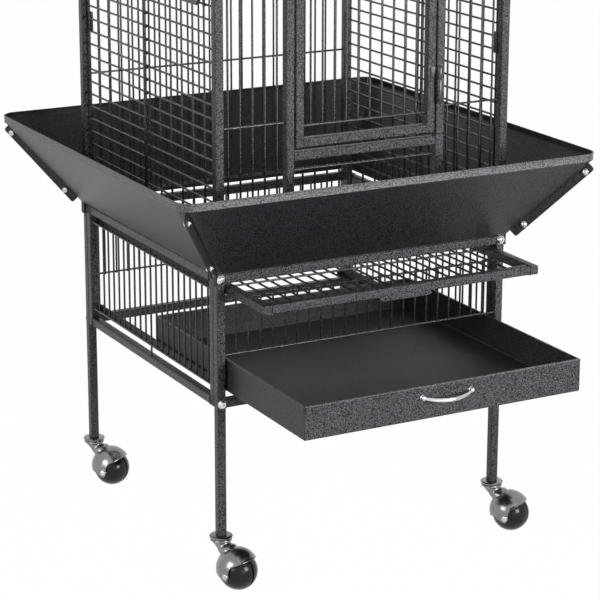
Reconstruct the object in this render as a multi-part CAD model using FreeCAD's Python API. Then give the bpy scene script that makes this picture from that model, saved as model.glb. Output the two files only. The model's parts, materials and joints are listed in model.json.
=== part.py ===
import FreeCAD, Part
import math
import os

# Bird cage on a rolling stand. Millimetres, +Z up, front towards -Y.
# The pieces are modelled about the cage's own centre line with Z = 0 on the floor,
# then moved along Y as one so that the origin lies under the middle of the whole part.

V = FreeCAD.Vector

# ---- cage, stand and their stock ----
cage_width = 460.0          # over the posts, left to right
cage_depth = 460.0          # over the posts, front to back
tube = 12.7                 # square tube, outside
tube_wall = 1.0
wire = 3.0                  # thin cage wire
rod = 5.0                   # thick wire and edge rods
wire_pitch = 18.9           # centre to centre
layer_gap = 0.02            # between two crossed layers of wire
cross_spacing = 105.0       # of the cross wires of the grille and the roof, about

# ---- stand, heights ----
stand_frame_low = 259.5     # underside of the stand's bottom rails
stand_frame_height = 189.3  # bottom rail underside to top rail top
tray_lift = 9.4             # bottom rail top to tray floor
side_wire_low = 15.5        # bottom rail top to the side frame's lower wire
side_wire_drop = 11.6       # top rail underside to the side frame's upper wire
slot_clearance = 2.9        # grille to top rail
guard_clearance = 5.0       # tray top to guard wire

# ---- debris tray ----
tray_side_gap = 3.45        # tray to the inside of the stand's side frames
tray_rear_gap = 3.3         # to the inside of the rear legs when shut
tray_height = 46.5
tray_sheet = 1.0
tray_hem = 3.0              # width of the rolled hem
tray_closed_reach = 10.0    # tray front in front of the legs when shut
tray_open_now = 209.0       # how far it stands open at rest
handle_span = 75.0
handle_bow = 15.0
handle_sag = 4.0
handle_rod = 5.0
handle_drop = 15.5          # tray top to the handle's feet
handle_boss = 9.0           # diameter of the handle's feet
handle_boss_length = 3.0
handle_shoulder = 3.6       # radius of the round end behind each foot
screw_shank = 1.6           # radius of the handle screws
screw_clearance = 0.1
screw_head = 4.0
screw_head_height = 2.0

# ---- floor grille ----
grille_side_gap = 2.4
grille_rear_gap = 13.3
grille_closed_reach = 6.0
grille_open_now = 103.6
pull_width = 80.0
pull_height = 6.0
pull_sheet = 1.5

# ---- runners ----
runner_leg = 12.0
runner_sheet = 1.5
running_gap = 0.3
runner_stop = 6.0           # length of the bent-up stop at the back

# ---- bolts of the stand ----
bolt_shank = 3.0            # radius
bolt_hole_clearance = 0.2
bolt_head = 6.5
bolt_head_height = 3.6

# ---- casters ----
ball = 54.0
caster_rise = 12.0          # top of the hood to the underside of the legs
ball_groove_width = 3.0
ball_groove_depth = 2.0
caster_offset = 31.0        # stem axis to ball centre
caster_headings = {         # degrees from +X, the way each ball trails at rest
    "front_left": -66.0,
    "front_right": -52.0,
    "rear_left": -53.0,
    "rear_right": 62.0}
hood_gap = 1.8              # added to the ball's radius
hood_sheet = 1.2
hood_lift = 4.0             # hood's centre from the ball's, towards its crown
hood_tilt = 27.0
hood_rise = 4.0             # ball's centre to the plane of the hood's rim
hood_leaf = 7.0             # radius of the leaf round the axle
hood_leaf_top = 13.0        # half width of the leaf where it meets the hood
hood_boss = 5.5             # radius of the pad under each axle head
hood_boss_proud = 0.2
neck_radius = 12.0
neck_reach = 16.0
neck_drop = 18.0
cap_radius = 16.5
cap_height = 5.0
cap_chamfer = 0.45          # share of the cap's height
stem_radius = 4.0
stem_length = 22.0
socket_height = 26.0
axle_radius = 2.5
axle_head = 4.2
axle_head_height = 1.6
turning_fit = 0.05          # radial clearance of every turning pin
plug_fit = 0.1              # clearance of a plug in its tube, per side

# ---- seed skirt ----
skirt_lift = 3.0            # stand top to skirt bottom
skirt_gap = 3.0             # posts to skirt bottom
skirt_height = 127.0
skirt_reach = 91.0
skirt_lip = 11.5
skirt_lip_step = 1.5
skirt_sheet = 1.0
rim_radius = 22.0
bottom_radius = 3.0
rim_bead = 2.4              # diameter of the rolled edge
flange_width = 12.0
flange_start = 0.05
flange_end = 0.97
flange_bolt_low = 0.17
flange_bolt_high = 0.89
flange_bolt_shank = 2.5
flange_bolt_head = 5.2
flange_bolt_head_height = 3.0
flange_nut = 4.6
flange_nut_height = 3.5
tab_thickness = 3.5
tab_width = 11.0
tab_drop = 14.0

# ---- cage body ----
cage_height = 762.0
coupler_length = 60.0
sill_wire_height = 132.0    # above the stand top
crossbar_height = 145.3
section_wire_height = 199.0
base_rod_height = 13.0
jamb_spacing = 223.0        # clear width between the jambs
front_wire_setback = 9.0    # front face to the centre of the upright wires
front_pitch = 18.4          # wires of the front sections and the door
upper_wire_spacing = 225.0  # between horizontals of the front and the back

# ---- front door ----
door_side_gap = 2.0
door_sill_gap = 5.0
door_height = 490.0
door_head_gap = 3.0
door_wire_low = 29.0        # door bottom to its lowest wire
door_wire_spacing = 215.0
hinge_radius = 4.5
hinge_pin = 2.5
hinge_offset = 1.0          # hinge axis past the jamb's edge
hinge_height = 42.0         # door bottom to the lower hinge
hinge_length = 51.0
hinge_door_share = 17.0     # length of the knuckle on the door
hinge_leaf = 9.0
hinge_leaf_sheet = 1.2
leaf_gap = 0.3
latch_height = 245.0        # above the door bottom
latch_length = 22.0         # pivot to the centre of the rounded end
latch_bar = 8.0
latch_sheet = 2.5
latch_screw = 2.0
latch_screw_head = 4.5
latch_screw_head_height = 2.0
keeper_sheet = 1.5
keeper_width = 9.0
keeper_foot = 7.0
keeper_lip = 6.0

# ---- side panels ----
panel_wire_low = 20.8       # stand top to the lowest wire
panel_post_gap = 3.8
panel_inset = 10.0          # outer face to the centre of the upright wires
panel_upright_spacing = 35.3    # about
clip_height = 30.0
clip_depth = 9.0
clip_sheet = 3.0
clip_levels = (278.5, 600.0)
panel_top_gap = 4.0

# ---- feeder doors, cups and perches ----
feeder_front_upright = 1    # the upright wire at the opening's front edge
feeder_rear_upright = 5
feeder_low_wire = 18        # the level wire at the opening's lower edge
feeder_high_wire = 25
feeder_overlap = 1.0
feeder_corner = 10.0
feeder_clearance = 0.5
feeder_hinge_reach = 13.5   # hinge rod in front of the opening
feeder_hinge_rod = 4.0
feeder_knuckle = 4.0
feeder_knuckle_height = 10.0
feeder_knuckle_rows = 1.5   # wire rows from the opening's edge to a knuckle
feeder_strap = 2.0
cup_top_radius = 46.0
cup_base_radius = 36.0
cup_depth = 52.0
cup_sheet = 0.8
cup_rim = 6.0
cup_level = 45.0            # above the feeder opening's lower wire
holder_rod = 4.0
holder_clearance = 1.5
perch_radius = 10.0
perch_bays = ((8, 24), (10, 30))    # the bay and the wire row of each inside perch
perch_washer = 18.5
perch_washer_sheet = 1.6
perch_nut = 6.0
perch_nut_height = 6.0
perch_screw = 3.0
perch_screw_depth = 20.0

# ---- play stand on the roof ----
gym_height = 190.0
gym_half_span = 70.0
gym_rod = 8.0
gym_bend = 25.0
gym_cup_drop = 60.0

# ---- worked out ----
half_w = cage_width / 2
half_d = cage_depth / 2
in_w = half_w - tube
in_d = half_d - tube
mid = tube / 2
wire_r = wire / 2
rod_r = rod / 2
leg_foot = ball + hood_gap + hood_sheet + hood_lift + caster_rise
stand_top = stand_frame_low + stand_frame_height
low_rail_top = stand_frame_low + tube
top_rail_low = stand_top - tube
tray_low = low_rail_top + tray_lift
tray_top = tray_low + tray_height
guard_low = tray_top + guard_clearance + wire_r
grille_top = top_rail_low - slot_clearance
grille_low = grille_top - tube
guard_high = grille_low - pull_height - wire_r
cage_top = stand_top + cage_height
bore = tube - 2 * tube_wall

parts = {}


def add(name, *solids):
    parts.setdefault(name, []).extend(solids)


def box(x0, x1, y0, y1, z0, z1):
    return Part.makeBox(x1 - x0, y1 - y0, z1 - z0, V(x0, y0, z0))


def tube_z(x, y, z0, z1):
    outer = box(x - mid, x + mid, y - mid, y + mid, z0, z1)
    return outer.cut(box(x - bore / 2, x + bore / 2, y - bore / 2, y + bore / 2, z0, z1))


def tube_x(x0, x1, y, z):
    outer = box(x0, x1, y - mid, y + mid, z - mid, z + mid)
    return outer.cut(box(x0, x1, y - bore / 2, y + bore / 2, z - bore / 2, z + bore / 2))


def tube_y(x, y0, y1, z):
    outer = box(x - mid, x + mid, y0, y1, z - mid, z + mid)
    return outer.cut(box(x - bore / 2, x + bore / 2, y0, y1, z - bore / 2, z + bore / 2))


def bar(start, end, radius):
    run = end - start
    return Part.makeCylinder(radius, run.Length, start, run)


def disc(centre, axis, radius, height):
    return Part.makeCylinder(radius, height, centre, axis)


def button(seat, axis, head, head_height, shank, shank_length):
    """A round-headed pin: the head's flat side is at the seat, its crown points along the axis."""
    crown = (head * head + head_height * head_height) / (2 * head_height)
    half_arc = math.asin(head / crown) / 2
    side = V(crown * math.sin(half_arc), 0, head_height - crown + crown * math.cos(half_arc))
    edges = [
        Part.LineSegment(V(0, 0, -shank_length), V(shank, 0, -shank_length)).toShape(),
        Part.LineSegment(V(shank, 0, -shank_length), V(shank, 0, 0)).toShape(),
        Part.LineSegment(V(shank, 0, 0), V(head, 0, 0)).toShape(),
        Part.Arc(V(head, 0, 0), side, V(0, 0, head_height)).toShape(),
        Part.LineSegment(V(0, 0, head_height), V(0, 0, -shank_length)).toShape()]
    pin = Part.Face(Part.Wire(edges)).revolve(V(0, 0, 0), V(0, 0, 1), 360)
    pin.Placement = FreeCAD.Placement(seat, FreeCAD.Rotation(V(0, 0, 1), axis))
    return pin


def hexagon(centre, axis, radius, height, hole):
    """A nut: the radius is over its corners."""
    turn = FreeCAD.Rotation(V(0, 0, 1), axis)
    corners = []
    for i in range(7):
        angle = math.radians(60 * i)
        corners.append(centre + turn.multVec(V(radius * math.cos(angle), radius * math.sin(angle), 0)))
    nut = Part.Face(Part.makePolygon(corners)).extrude(axis * height)
    return nut.cut(Part.makeCylinder(hole, height, centre, axis))


def bent_rod(points, bend, radius, closed=False):
    """A round rod along straight runs joined by arcs."""
    count = len(points)
    corners = range(count) if closed else range(1, count - 1)
    arcs = {}
    for i in corners:
        before = (points[i - 1] - points[i]).normalize()
        after = (points[(i + 1) % count] - points[i]).normalize()
        half_turn = (math.pi - before.getAngle(after)) / 2
        back = bend * math.tan(half_turn)
        towards = (before + after).normalize()
        middle = points[i] + towards * (bend / math.cos(half_turn) - bend)
        arcs[i] = (points[i] + before * back, middle, points[i] + after * back)
    edges = []
    for i in range(count if closed else count - 1):
        j = (i + 1) % count
        start = arcs[i][2] if i in arcs else points[i]
        end = arcs[j][0] if j in arcs else points[j]
        edges.append(Part.LineSegment(start, end).toShape())
        if j in arcs:
            edges.append(Part.Arc(*arcs[j]).toShape())
    path = Part.Wire(edges)
    first = edges[0]
    start = first.valueAt(first.FirstParameter)
    section = Part.Wire(Part.makeCircle(radius, start, first.tangentAt(first.FirstParameter)))
    return path.makePipeShell([section], True, False)


def rounded_square(half_x, half_y, radius, z):
    """A closed wire of four sides and four corner arcs, level with z."""
    edges = []
    k = math.sqrt(0.5)
    for sx, sy in ((1, -1), (1, 1), (-1, 1), (-1, -1)):
        c = V(sx * (half_x - radius), sy * (half_y - radius), z)
        arc_start = c + (V(0, sy * radius, 0) if sx * sy < 0 else V(sx * radius, 0, 0))
        arc_end = c + (V(sx * radius, 0, 0) if sx * sy < 0 else V(0, sy * radius, 0))
        arc_mid = c + V(sx * radius * k, sy * radius * k, 0)
        edges.append(Part.Arc(arc_start, arc_mid, arc_end).toShape())
    sides = []
    for i in range(4):
        sides.append(edges[i])
        end = edges[i].valueAt(edges[i].LastParameter)
        start = edges[(i + 1) % 4].valueAt(edges[(i + 1) % 4].FirstParameter)
        sides.append(Part.LineSegment(end, start).toShape())
    return Part.Wire(sides)


def spread(count, pitch):
    """Centres of so many wires, symmetric about zero."""
    return [(i - (count - 1) / 2) * pitch for i in range(count)]


def count_between(clear, pitch):
    """How many wires divide a clear width into gaps of about the pitch."""
    return int(round(clear / pitch)) - 1


def count_inside(clear, pitch):
    """How many wires at the pitch stand clear of both ends of a width."""
    return int(clear / pitch)


def divide(clear, spacing):
    """Centres of wires that divide a clear width evenly, about the spacing apart."""
    count = count_between(clear, spacing)
    return spread(count, clear / (count + 1))


# ---------------------------------------------------------------- stand

def stand_end_frame(name, y):
    """A front or rear frame: two legs with a rail at the bottom and the top."""
    holes = []
    for z in (stand_frame_low + mid, stand_top - mid):
        for sx in (-1, 1):
            x = sx * (half_w - mid)
            holes.append(Part.makeCylinder(bolt_shank + bolt_hole_clearance, 2 * tube,
                                           V(x, y - tube, z), V(0, 1, 0)))
    for sx in (-1, 1):
        leg = tube_z(sx * (half_w - mid), y, leg_foot, stand_top)
        add(name, leg.cut(Part.makeCompound(holes)))
    add(name, tube_x(-in_w, in_w, y, stand_frame_low + mid))
    add(name, tube_x(-in_w, in_w, y, stand_top - mid))


def stand_side_frame(name, sx):
    """A left or right frame: two uprights between two rails, bolted between the legs."""
    x = sx * (half_w - mid)
    for sy in (-1, 1):
        y = sy * (in_d - mid)
        upright = tube_z(x, y, stand_frame_low, stand_top)
        for z in (stand_frame_low + mid, stand_top - mid):
            face = V(x, sy * in_d, z)
            upright = upright.cut(Part.makeCylinder(bolt_shank + bolt_hole_clearance,
                                                    mid, face, V(0, -sy, 0)))
        add(name, upright)
    for z in (stand_frame_low + mid, stand_top - mid):
        add(name, tube_y(x, -(in_d - tube), in_d - tube, z))


def side_frame_wires(sx):
    x = sx * (half_w - mid)
    reach = in_d - tube
    low = low_rail_top + side_wire_low
    high = top_rail_low - side_wire_drop
    x_out = x + sx * (wire + layer_gap)
    for z in (low, high):
        add("side_frame_wires", bar(V(x_out, -reach, z), V(x_out, reach, z), wire_r))
    for y in spread(count_between(2 * reach, wire_pitch), wire_pitch):
        long_one = abs(y) < 0.01
        z0 = low_rail_top if long_one else low - wire_r
        z1 = top_rail_low if long_one else high + wire_r
        add("side_frame_wires", bar(V(x, y, z0), V(x, y, z1), wire_r))


def guard(name, y, sy, top):
    """Upright wires between two level ones, welded between the legs."""
    y_out = y + sy * (wire + layer_gap)
    add(name, bar(V(-in_w, y_out, guard_low), V(in_w, y_out, guard_low), wire_r))
    add(name, bar(V(-in_w, y_out, guard_high), V(in_w, y_out, guard_high), wire_r))
    for x in spread(count_between(2 * in_w, wire_pitch), wire_pitch):
        add(name, bar(V(x, y, guard_low - wire_r), V(x, y, top), wire_r))


def runners(name, shelf_top):
    """A pair of angles welded inside the side frames, each with a stop at the back."""
    for sx in (-1, 1):
        x_wall = sx * in_w
        x_face = sx * (in_w - runner_sheet)
        x_lip = sx * (in_w - runner_leg)
        shelf = box(min(x_wall, x_lip), max(x_wall, x_lip), -in_d, in_d,
                    shelf_top - runner_sheet, shelf_top)
        web = box(min(x_wall, x_face), max(x_wall, x_face), -in_d, in_d,
                  shelf_top - runner_sheet, shelf_top + runner_leg)
        stop = box(min(x_wall, x_lip), max(x_wall, x_lip), in_d - runner_sheet, in_d,
                   shelf_top - runner_sheet, shelf_top + runner_stop)
        add(name, shelf.multiFuse([web, stop]).removeSplitter())


def stand_bolts():
    length = tube + tube - 2 * tube_wall
    for sy in (-1, 1):
        for sx in (-1, 1):
            for z in (stand_frame_low + mid, stand_top - mid):
                seat = V(sx * (half_w - mid), sy * half_d, z)
                add("stand_bolts", button(seat, V(0, sy, 0), bolt_head, bolt_head_height,
                                          bolt_shank, length))


# ---------------------------------------------------------------- casters

def caster(name, x, y):
    """One hooded ball caster. It is made with the ball trailing towards +X, then turned."""
    ball_r = ball / 2
    centre = V(caster_offset, 0, ball_r)
    inner_r = ball_r + hood_gap
    outer_r = inner_r + hood_sheet
    lean = math.radians(hood_tilt)
    lift = V(-math.sin(lean), 0, math.cos(lean)) * hood_lift
    boss_face = outer_r + hood_boss_proud
    cap_low = leg_foot - cap_height
    across = V(0, 1, 0)

    size = 4 * outer_r
    above = box(-size, size, -size, size, hood_rise, size)
    above.rotate(V(0, 0, hood_rise), across, -hood_tilt)
    leaf_outline = Part.makePolygon([
        V(-hood_leaf_top, -size, outer_r / 2), V(-hood_leaf, -size, 0),
        V(hood_leaf, -size, 0), V(hood_leaf_top, -size, outer_r / 2),
        V(-hood_leaf_top, -size, outer_r / 2)])
    leaf = Part.Face(leaf_outline).extrude(V(0, 2 * size, 0))
    leaf_end = Part.makeCylinder(hood_leaf, 2 * size, V(0, -size, 0), across)
    kept = above.multiFuse([leaf, leaf_end])
    shell = Part.makeSphere(outer_r, lift).common(kept)
    shell = shell.fuse(Part.makeCylinder(hood_boss, 2 * boss_face, across * -boss_face, across))
    shell.translate(centre)

    neck_top = V(0, 0, cap_low - running_gap)
    neck_low = V(neck_reach, 0, neck_top.z - neck_drop)
    top_ring = Part.Wire(Part.makeCircle(neck_radius, neck_top, V(0, 0, 1)))
    low_ring = Part.Wire(Part.makeCircle(neck_radius, neck_low, V(neck_reach, 0, -neck_drop)))
    neck = Part.makeLoft([top_ring, low_ring], True, True)
    stem = Part.makeCylinder(stem_radius, cap_height + running_gap + stem_length, neck_top)
    hood = shell.multiFuse([neck, stem])
    hood = hood.cut(Part.makeSphere(inner_r, centre + lift))
    pin_hole = Part.makeCylinder(axle_radius + turning_fit, 2 * size, centre - across * size, across)
    hood = hood.cut(pin_hole).removeSplitter()

    wheel = Part.makeSphere(ball_r, centre)
    wheel = wheel.cut(pin_hole)
    half_groove = ball_groove_width / 2
    groove = Part.makeCylinder(size, ball_groove_width, centre - across * half_groove, across)
    hub = Part.makeCylinder(ball_r - ball_groove_depth, ball_groove_width,
                            centre - across * half_groove, across)
    wheel = wheel.cut(groove.cut(hub))

    axle = button(centre - across * boss_face, across * -1, axle_head, axle_head_height,
                  axle_radius, boss_face)
    axle = axle.fuse(button(centre + across * boss_face, across, axle_head, axle_head_height,
                            axle_radius, boss_face)).removeSplitter()

    cap = Part.makeCylinder(cap_radius, cap_height, V(0, 0, cap_low))
    cap = cap.makeChamfer(cap_height * cap_chamfer, [cap.Edges[0], cap.Edges[2]])
    plug_half = bore / 2 - plug_fit
    plug = box(-plug_half, plug_half, -plug_half, plug_half, leg_foot, leg_foot + socket_height)
    socket = cap.fuse(plug).cut(Part.makeCylinder(stem_radius + turning_fit, cap_height + socket_height,
                                                  V(0, 0, cap_low)))

    for solid in (hood, wheel, axle):
        solid.rotate(V(0, 0, 0), V(0, 0, 1), caster_headings[name])
    for solid in (hood, wheel, axle, socket):
        solid.translate(V(x, y, 0))
    add("caster_hood_" + name, hood)
    add("caster_ball_" + name, wheel)
    add("caster_axle_" + name, axle)
    add("caster_sockets", socket.removeSplitter())


# ---------------------------------------------------------------- seed skirt

skirt_low = stand_top + skirt_lift
skirt_rim = skirt_low + skirt_height
skirt_bend = skirt_rim - skirt_lip
flare = math.atan2(skirt_reach - skirt_lip_step, skirt_height - skirt_lip)
flat_sheet = skirt_sheet / math.cos(flare)      # the sheet measured level


def skirt_half(z):
    """Half size of the flared part's outside at a height."""
    share = (z - skirt_low) / (skirt_bend - skirt_low)
    return half_w + skirt_gap + share * (skirt_reach - skirt_lip_step)


def skirt_round(z):
    share = (z - skirt_low) / (skirt_bend - skirt_low)
    return bottom_radius + share * (rim_radius - bottom_radius)


def skirt_ring(z, inset):
    half = skirt_half(z) - inset
    deeper = half_d - half_w
    return rounded_square(half, half + deeper, skirt_round(z) - inset, z)


def skirt_shell():
    outer = Part.makeLoft([skirt_ring(skirt_low, 0), skirt_ring(skirt_bend, 0)], True, True)
    inner = Part.makeLoft([skirt_ring(skirt_low, flat_sheet), skirt_ring(skirt_bend, flat_sheet)],
                          True, True)
    flared = outer.cut(inner)
    half = skirt_half(skirt_bend) + skirt_lip_step
    deeper = half_d - half_w
    rim = rim_radius + skirt_lip_step
    step_in = skirt_lip_step + flat_sheet
    lip = Part.Face(rounded_square(half, half + deeper, rim, skirt_bend)).extrude(V(0, 0, skirt_lip))
    hollow = Part.Face(rounded_square(half - skirt_sheet, half + deeper - skirt_sheet,
                                      rim - skirt_sheet, skirt_bend + skirt_sheet))
    lip = lip.cut(hollow.extrude(V(0, 0, skirt_lip)))
    well = Part.Face(rounded_square(half - step_in, half + deeper - step_in, rim - step_in, skirt_bend))
    lip = lip.cut(well.extrude(V(0, 0, skirt_lip)))
    bead_half = half - skirt_sheet / 2
    bead_path = rounded_square(bead_half, bead_half + deeper, rim - skirt_sheet / 2,
                               skirt_rim - rim_bead / 2)
    start = bead_path.Edges[1].valueAt(bead_path.Edges[1].FirstParameter)
    run = bead_path.Edges[1].tangentAt(bead_path.Edges[1].FirstParameter)
    section = Part.Wire(Part.makeCircle(rim_bead / 2, start, run))
    bead = bead_path.makePipeShell([section], True, False)
    return flared.multiFuse([lip, bead])


def wedge(sx, sy):
    """The part of the plan that one panel covers, bounded by the mitre lines at its corners."""
    own, other = (half_d, half_w) if sy else (half_w, half_d)
    corners = []
    near, far = own / 2, 3 * own
    for r, side in ((near, -1), (near, 1), (far, 1), (far, -1)):
        across = side * (r - own + other)
        corners.append(V(across, sy * r, 0) if sy else V(sx * r, across, 0))
    return Part.Face(Part.makePolygon(corners + corners[:1])).extrude(V(0, 0, 2 * skirt_rim))


def mitre_point(sx, sy, z, inset):
    """A point of the mitre line where two skirt panels meet."""
    half = skirt_half(z) - inset
    radius = skirt_round(z) - inset
    corner = half - radius * (1 - math.sqrt(0.5))
    return V(sx * corner, sy * (corner + half_d - half_w), z)


def flange_direction(sx, sy):
    """Square to the mitre line, in the diagonal's upright plane, outwards and down."""
    low = mitre_point(sx, sy, skirt_low, 0)
    high = mitre_point(sx, sy, skirt_bend, 0)
    along = (high - low).normalize()
    out = V(sx, sy, 0).normalize()
    return (out - along * out.dot(along)).normalize()


def along_mitre(sx, sy, share, inset=0.0):
    return mitre_point(sx, sy, skirt_low + share * (skirt_bend - skirt_low), inset)


def flange(sx, sy, side):
    """One panel's corner flange, with holes for its two bolts."""
    away = flange_direction(sx, sy)
    a = along_mitre(sx, sy, flange_start, flat_sheet)
    b = along_mitre(sx, sy, flange_end, flat_sheet)
    width = flange_width + skirt_sheet
    plate = Part.Face(Part.makePolygon([a, b, b + away * width, a + away * width, a]))
    normal = V(side[0], side[1], 0)
    diagonal = V(sx, sy, 0).normalize()
    normal = (normal - diagonal * normal.dot(diagonal)).normalize()
    plate = plate.extrude(normal * skirt_sheet)
    for share in (flange_bolt_low, flange_bolt_high):
        centre = along_mitre(sx, sy, share) + away * (flange_width / 2)
        plate = plate.cut(Part.makeCylinder(flange_bolt_shank + bolt_hole_clearance, 4 * skirt_sheet,
                                            centre - normal * (2 * skirt_sheet), normal))
    return plate


def skirt_tab(sx, sy):
    """A hook that hangs beside the leg and carries the side panel."""
    x = sx * half_w
    x_out = sx * (half_w + tab_thickness)
    y = sy * (half_d - mid)
    return box(min(x, x_out), max(x, x_out), y - tab_width / 2, y + tab_width / 2,
               stand_top - tab_drop, skirt_low + tab_thickness)


def skirt():
    shell = skirt_shell()
    sides = {"front": (0, -1), "rear": (0, 1), "left": (-1, 0), "right": (1, 0)}
    for name, (sx, sy) in sides.items():
        panel = shell.common(wedge(sx, sy))
        corners = [(s, sy) for s in (-1, 1)] if sy else [(sx, s) for s in (-1, 1)]
        extras = [flange(cx, cy, (sx, sy)) for cx, cy in corners]
        if sx:
            extras += [skirt_tab(cx, cy) for cx, cy in corners]
        add("skirt_" + name, panel.multiFuse(extras).removeSplitter())
    for sx in (-1, 1):
        for sy in (-1, 1):
            away = flange_direction(sx, sy)
            axis = V(-sx * sy * sx, sx * sy * sy, 0).normalize()
            axis = axis if axis.y * sy < 0 else axis * -1
            for share in (flange_bolt_low, flange_bolt_high):
                centre = along_mitre(sx, sy, share) + away * (flange_width / 2)
                head_seat = centre - axis * skirt_sheet
                nut_seat = centre + axis * skirt_sheet
                add("skirt_bolts", button(head_seat, axis * -1, flange_bolt_head, flange_bolt_head_height,
                                          flange_bolt_shank, 2 * skirt_sheet + flange_nut_height))
                add("skirt_bolts", hexagon(nut_seat, axis, flange_nut, flange_nut_height,
                                           flange_bolt_shank + turning_fit))


# ---------------------------------------------------------------- cage body

post_x = half_w - mid
post_y = half_d - mid
jamb_in = jamb_spacing / 2
jamb_x = jamb_in + mid
jamb_out = jamb_in + tube
base_z = stand_top + base_rod_height
sill_z = stand_top + sill_wire_height
section_z = stand_top + section_wire_height
crossbar_z = stand_top + crossbar_height + mid
door_low = crossbar_z + mid + door_sill_gap
door_top = door_low + door_height
header_z = door_top + door_head_gap + mid
top_rail_under = cage_top - tube
jamb_foot = skirt_low + skirt_sheet


def couplers():
    """Square plugs that join each cage post to the leg under it."""
    half = bore / 2 - plug_fit
    for sx in (-1, 1):
        for sy in (-1, 1):
            x = sx * post_x
            y = sy * post_y
            plug = box(x - half, x + half, y - half, y + half,
                       stand_top - coupler_length / 2, stand_top + coupler_length / 2)
            hole = Part.makeCylinder(bolt_shank + bolt_hole_clearance, tube,
                                     V(x, y - mid, stand_top - mid), V(0, 1, 0))
            add("post_couplers", plug.cut(hole))


def cage_front_frame():
    y = -post_y
    for sx in (-1, 1):
        add("cage_front_frame", tube_z(sx * post_x, y, stand_top, cage_top))
        add("cage_front_frame", tube_z(sx * jamb_x, y, jamb_foot, top_rail_under))
    add("cage_front_frame", tube_x(-in_w, in_w, y, cage_top - mid))
    for z in (crossbar_z, header_z):
        add("cage_front_frame", tube_x(-jamb_in, jamb_in, y, z))


def cage_rear_frame():
    for sx in (-1, 1):
        add("cage_rear_frame", tube_z(sx * post_x, post_y, stand_top, cage_top))
    add("cage_rear_frame", tube_x(-in_w, in_w, post_y, cage_top - mid))


def level_wires(name, x0, x1, sy, heights):
    """Level wires on the outer side of the uprights."""
    y = sy * (half_d - front_wire_setback + wire + layer_gap)
    for z in heights:
        add(name, bar(V(x0, y, z), V(x1, y, z), wire_r))


def base_rod(name, x0, x1, sy):
    y = sy * (half_d - front_wire_setback + wire_r + rod_r + layer_gap)
    add(name, bar(V(x0, y, base_z), V(x1, y, base_z), rod_r))


def upright_wires(name, places, sy, z0, z1):
    y = sy * (half_d - front_wire_setback)
    for x in places:
        add(name, bar(V(x, y, z0), V(x, y, z1), wire_r))


def upper_levels():
    levels = [section_z]
    while levels[-1] + upper_wire_spacing < top_rail_under - wire_pitch:
        levels.append(levels[-1] + upper_wire_spacing)
    return levels


def front_wires():
    name = "front_wires"
    for sx in (-1, 1):
        x0 = min(sx * in_w, sx * jamb_out)
        x1 = max(sx * in_w, sx * jamb_out)
        centre = (x0 + x1) / 2
        places = spread(count_inside(x1 - x0, front_pitch), front_pitch)
        upright_wires(name, [centre + x for x in places], -1, base_z - rod_r, top_rail_under)
        base_rod(name, x0, x1, -1)
        level_wires(name, x0, x1, -1, upper_levels())
    between = spread(count_between(jamb_spacing, wire_pitch), wire_pitch)
    upright_wires(name, between, -1, base_z - rod_r, sill_z + wire_r)
    base_rod(name, -jamb_in, jamb_in, -1)
    level_wires(name, -jamb_in, jamb_in, -1, [sill_z])
    head_low = header_z + mid
    upright_wires(name, between, -1, head_low, top_rail_under)
    level_wires(name, -jamb_in, jamb_in, -1, [(head_low + top_rail_under) / 2])


def rear_wires():
    places = spread(count_between(2 * in_w, front_pitch), front_pitch)
    upright_wires("rear_wires", places, 1, base_z - rod_r, top_rail_under)
    base_rod("rear_wires", -in_w, in_w, 1)
    level_wires("rear_wires", -in_w, in_w, 1, upper_levels())


# ---------------------------------------------------------------- side panels

panel_edge = in_d - panel_post_gap
panel_x = half_w - panel_inset
panel_level_x = panel_x + wire + layer_gap
panel_rod_x = panel_level_x + wire_r + rod_r + layer_gap
panel_low = stand_top + panel_wire_low
panel_rows = int((top_rail_under - panel_top_gap - panel_low) / wire_pitch) + 1
panel_high = panel_low + (panel_rows - 1) * wire_pitch
panel_span = 2 * (panel_edge - wire_r)
panel_uprights = count_between(panel_span, panel_upright_spacing) + 2
upright_pitch = panel_span / (panel_uprights - 1)


def panel_y(index):
    return -(panel_edge - wire_r) + index * upright_pitch


def panel_z(index):
    return panel_low + index * wire_pitch


feeder_y0 = panel_y(feeder_front_upright)
feeder_y1 = panel_y(feeder_rear_upright)
feeder_z0 = panel_z(feeder_low_wire)
feeder_z1 = panel_z(feeder_high_wire)


def side_panel(name, sx):
    """Welded mesh with an opening for the feed cup and a thick centre rod."""
    for i in range(panel_uprights):
        x, y = sx * panel_x, panel_y(i)
        if feeder_front_upright < i < feeder_rear_upright:
            add(name, bar(V(x, y, panel_low - wire_r), V(x, y, feeder_z0 + wire_r), wire_r))
            add(name, bar(V(x, y, feeder_z1 - wire_r), V(x, y, panel_high + wire_r), wire_r))
        else:
            add(name, bar(V(x, y, panel_low - wire_r), V(x, y, panel_high + wire_r), wire_r))
    for i in range(panel_rows):
        x, z = sx * panel_level_x, panel_z(i)
        if feeder_low_wire < i < feeder_high_wire:
            add(name, bar(V(x, -panel_edge, z), V(x, feeder_y0 + wire_r, z), wire_r))
            add(name, bar(V(x, feeder_y1 - wire_r, z), V(x, panel_edge, z), wire_r))
        else:
            add(name, bar(V(x, -panel_edge, z), V(x, panel_edge, z), wire_r))
    add(name, bar(V(sx * panel_rod_x, 0, stand_top), V(sx * panel_rod_x, 0, panel_high + wire_r), rod_r))
    hinge = feeder_hinge(sx)
    add(name, bar(V(hinge.x, hinge.y, feeder_z0 - wire_r), V(hinge.x, hinge.y, feeder_z1 + wire_r),
                  feeder_hinge_rod / 2))


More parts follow.
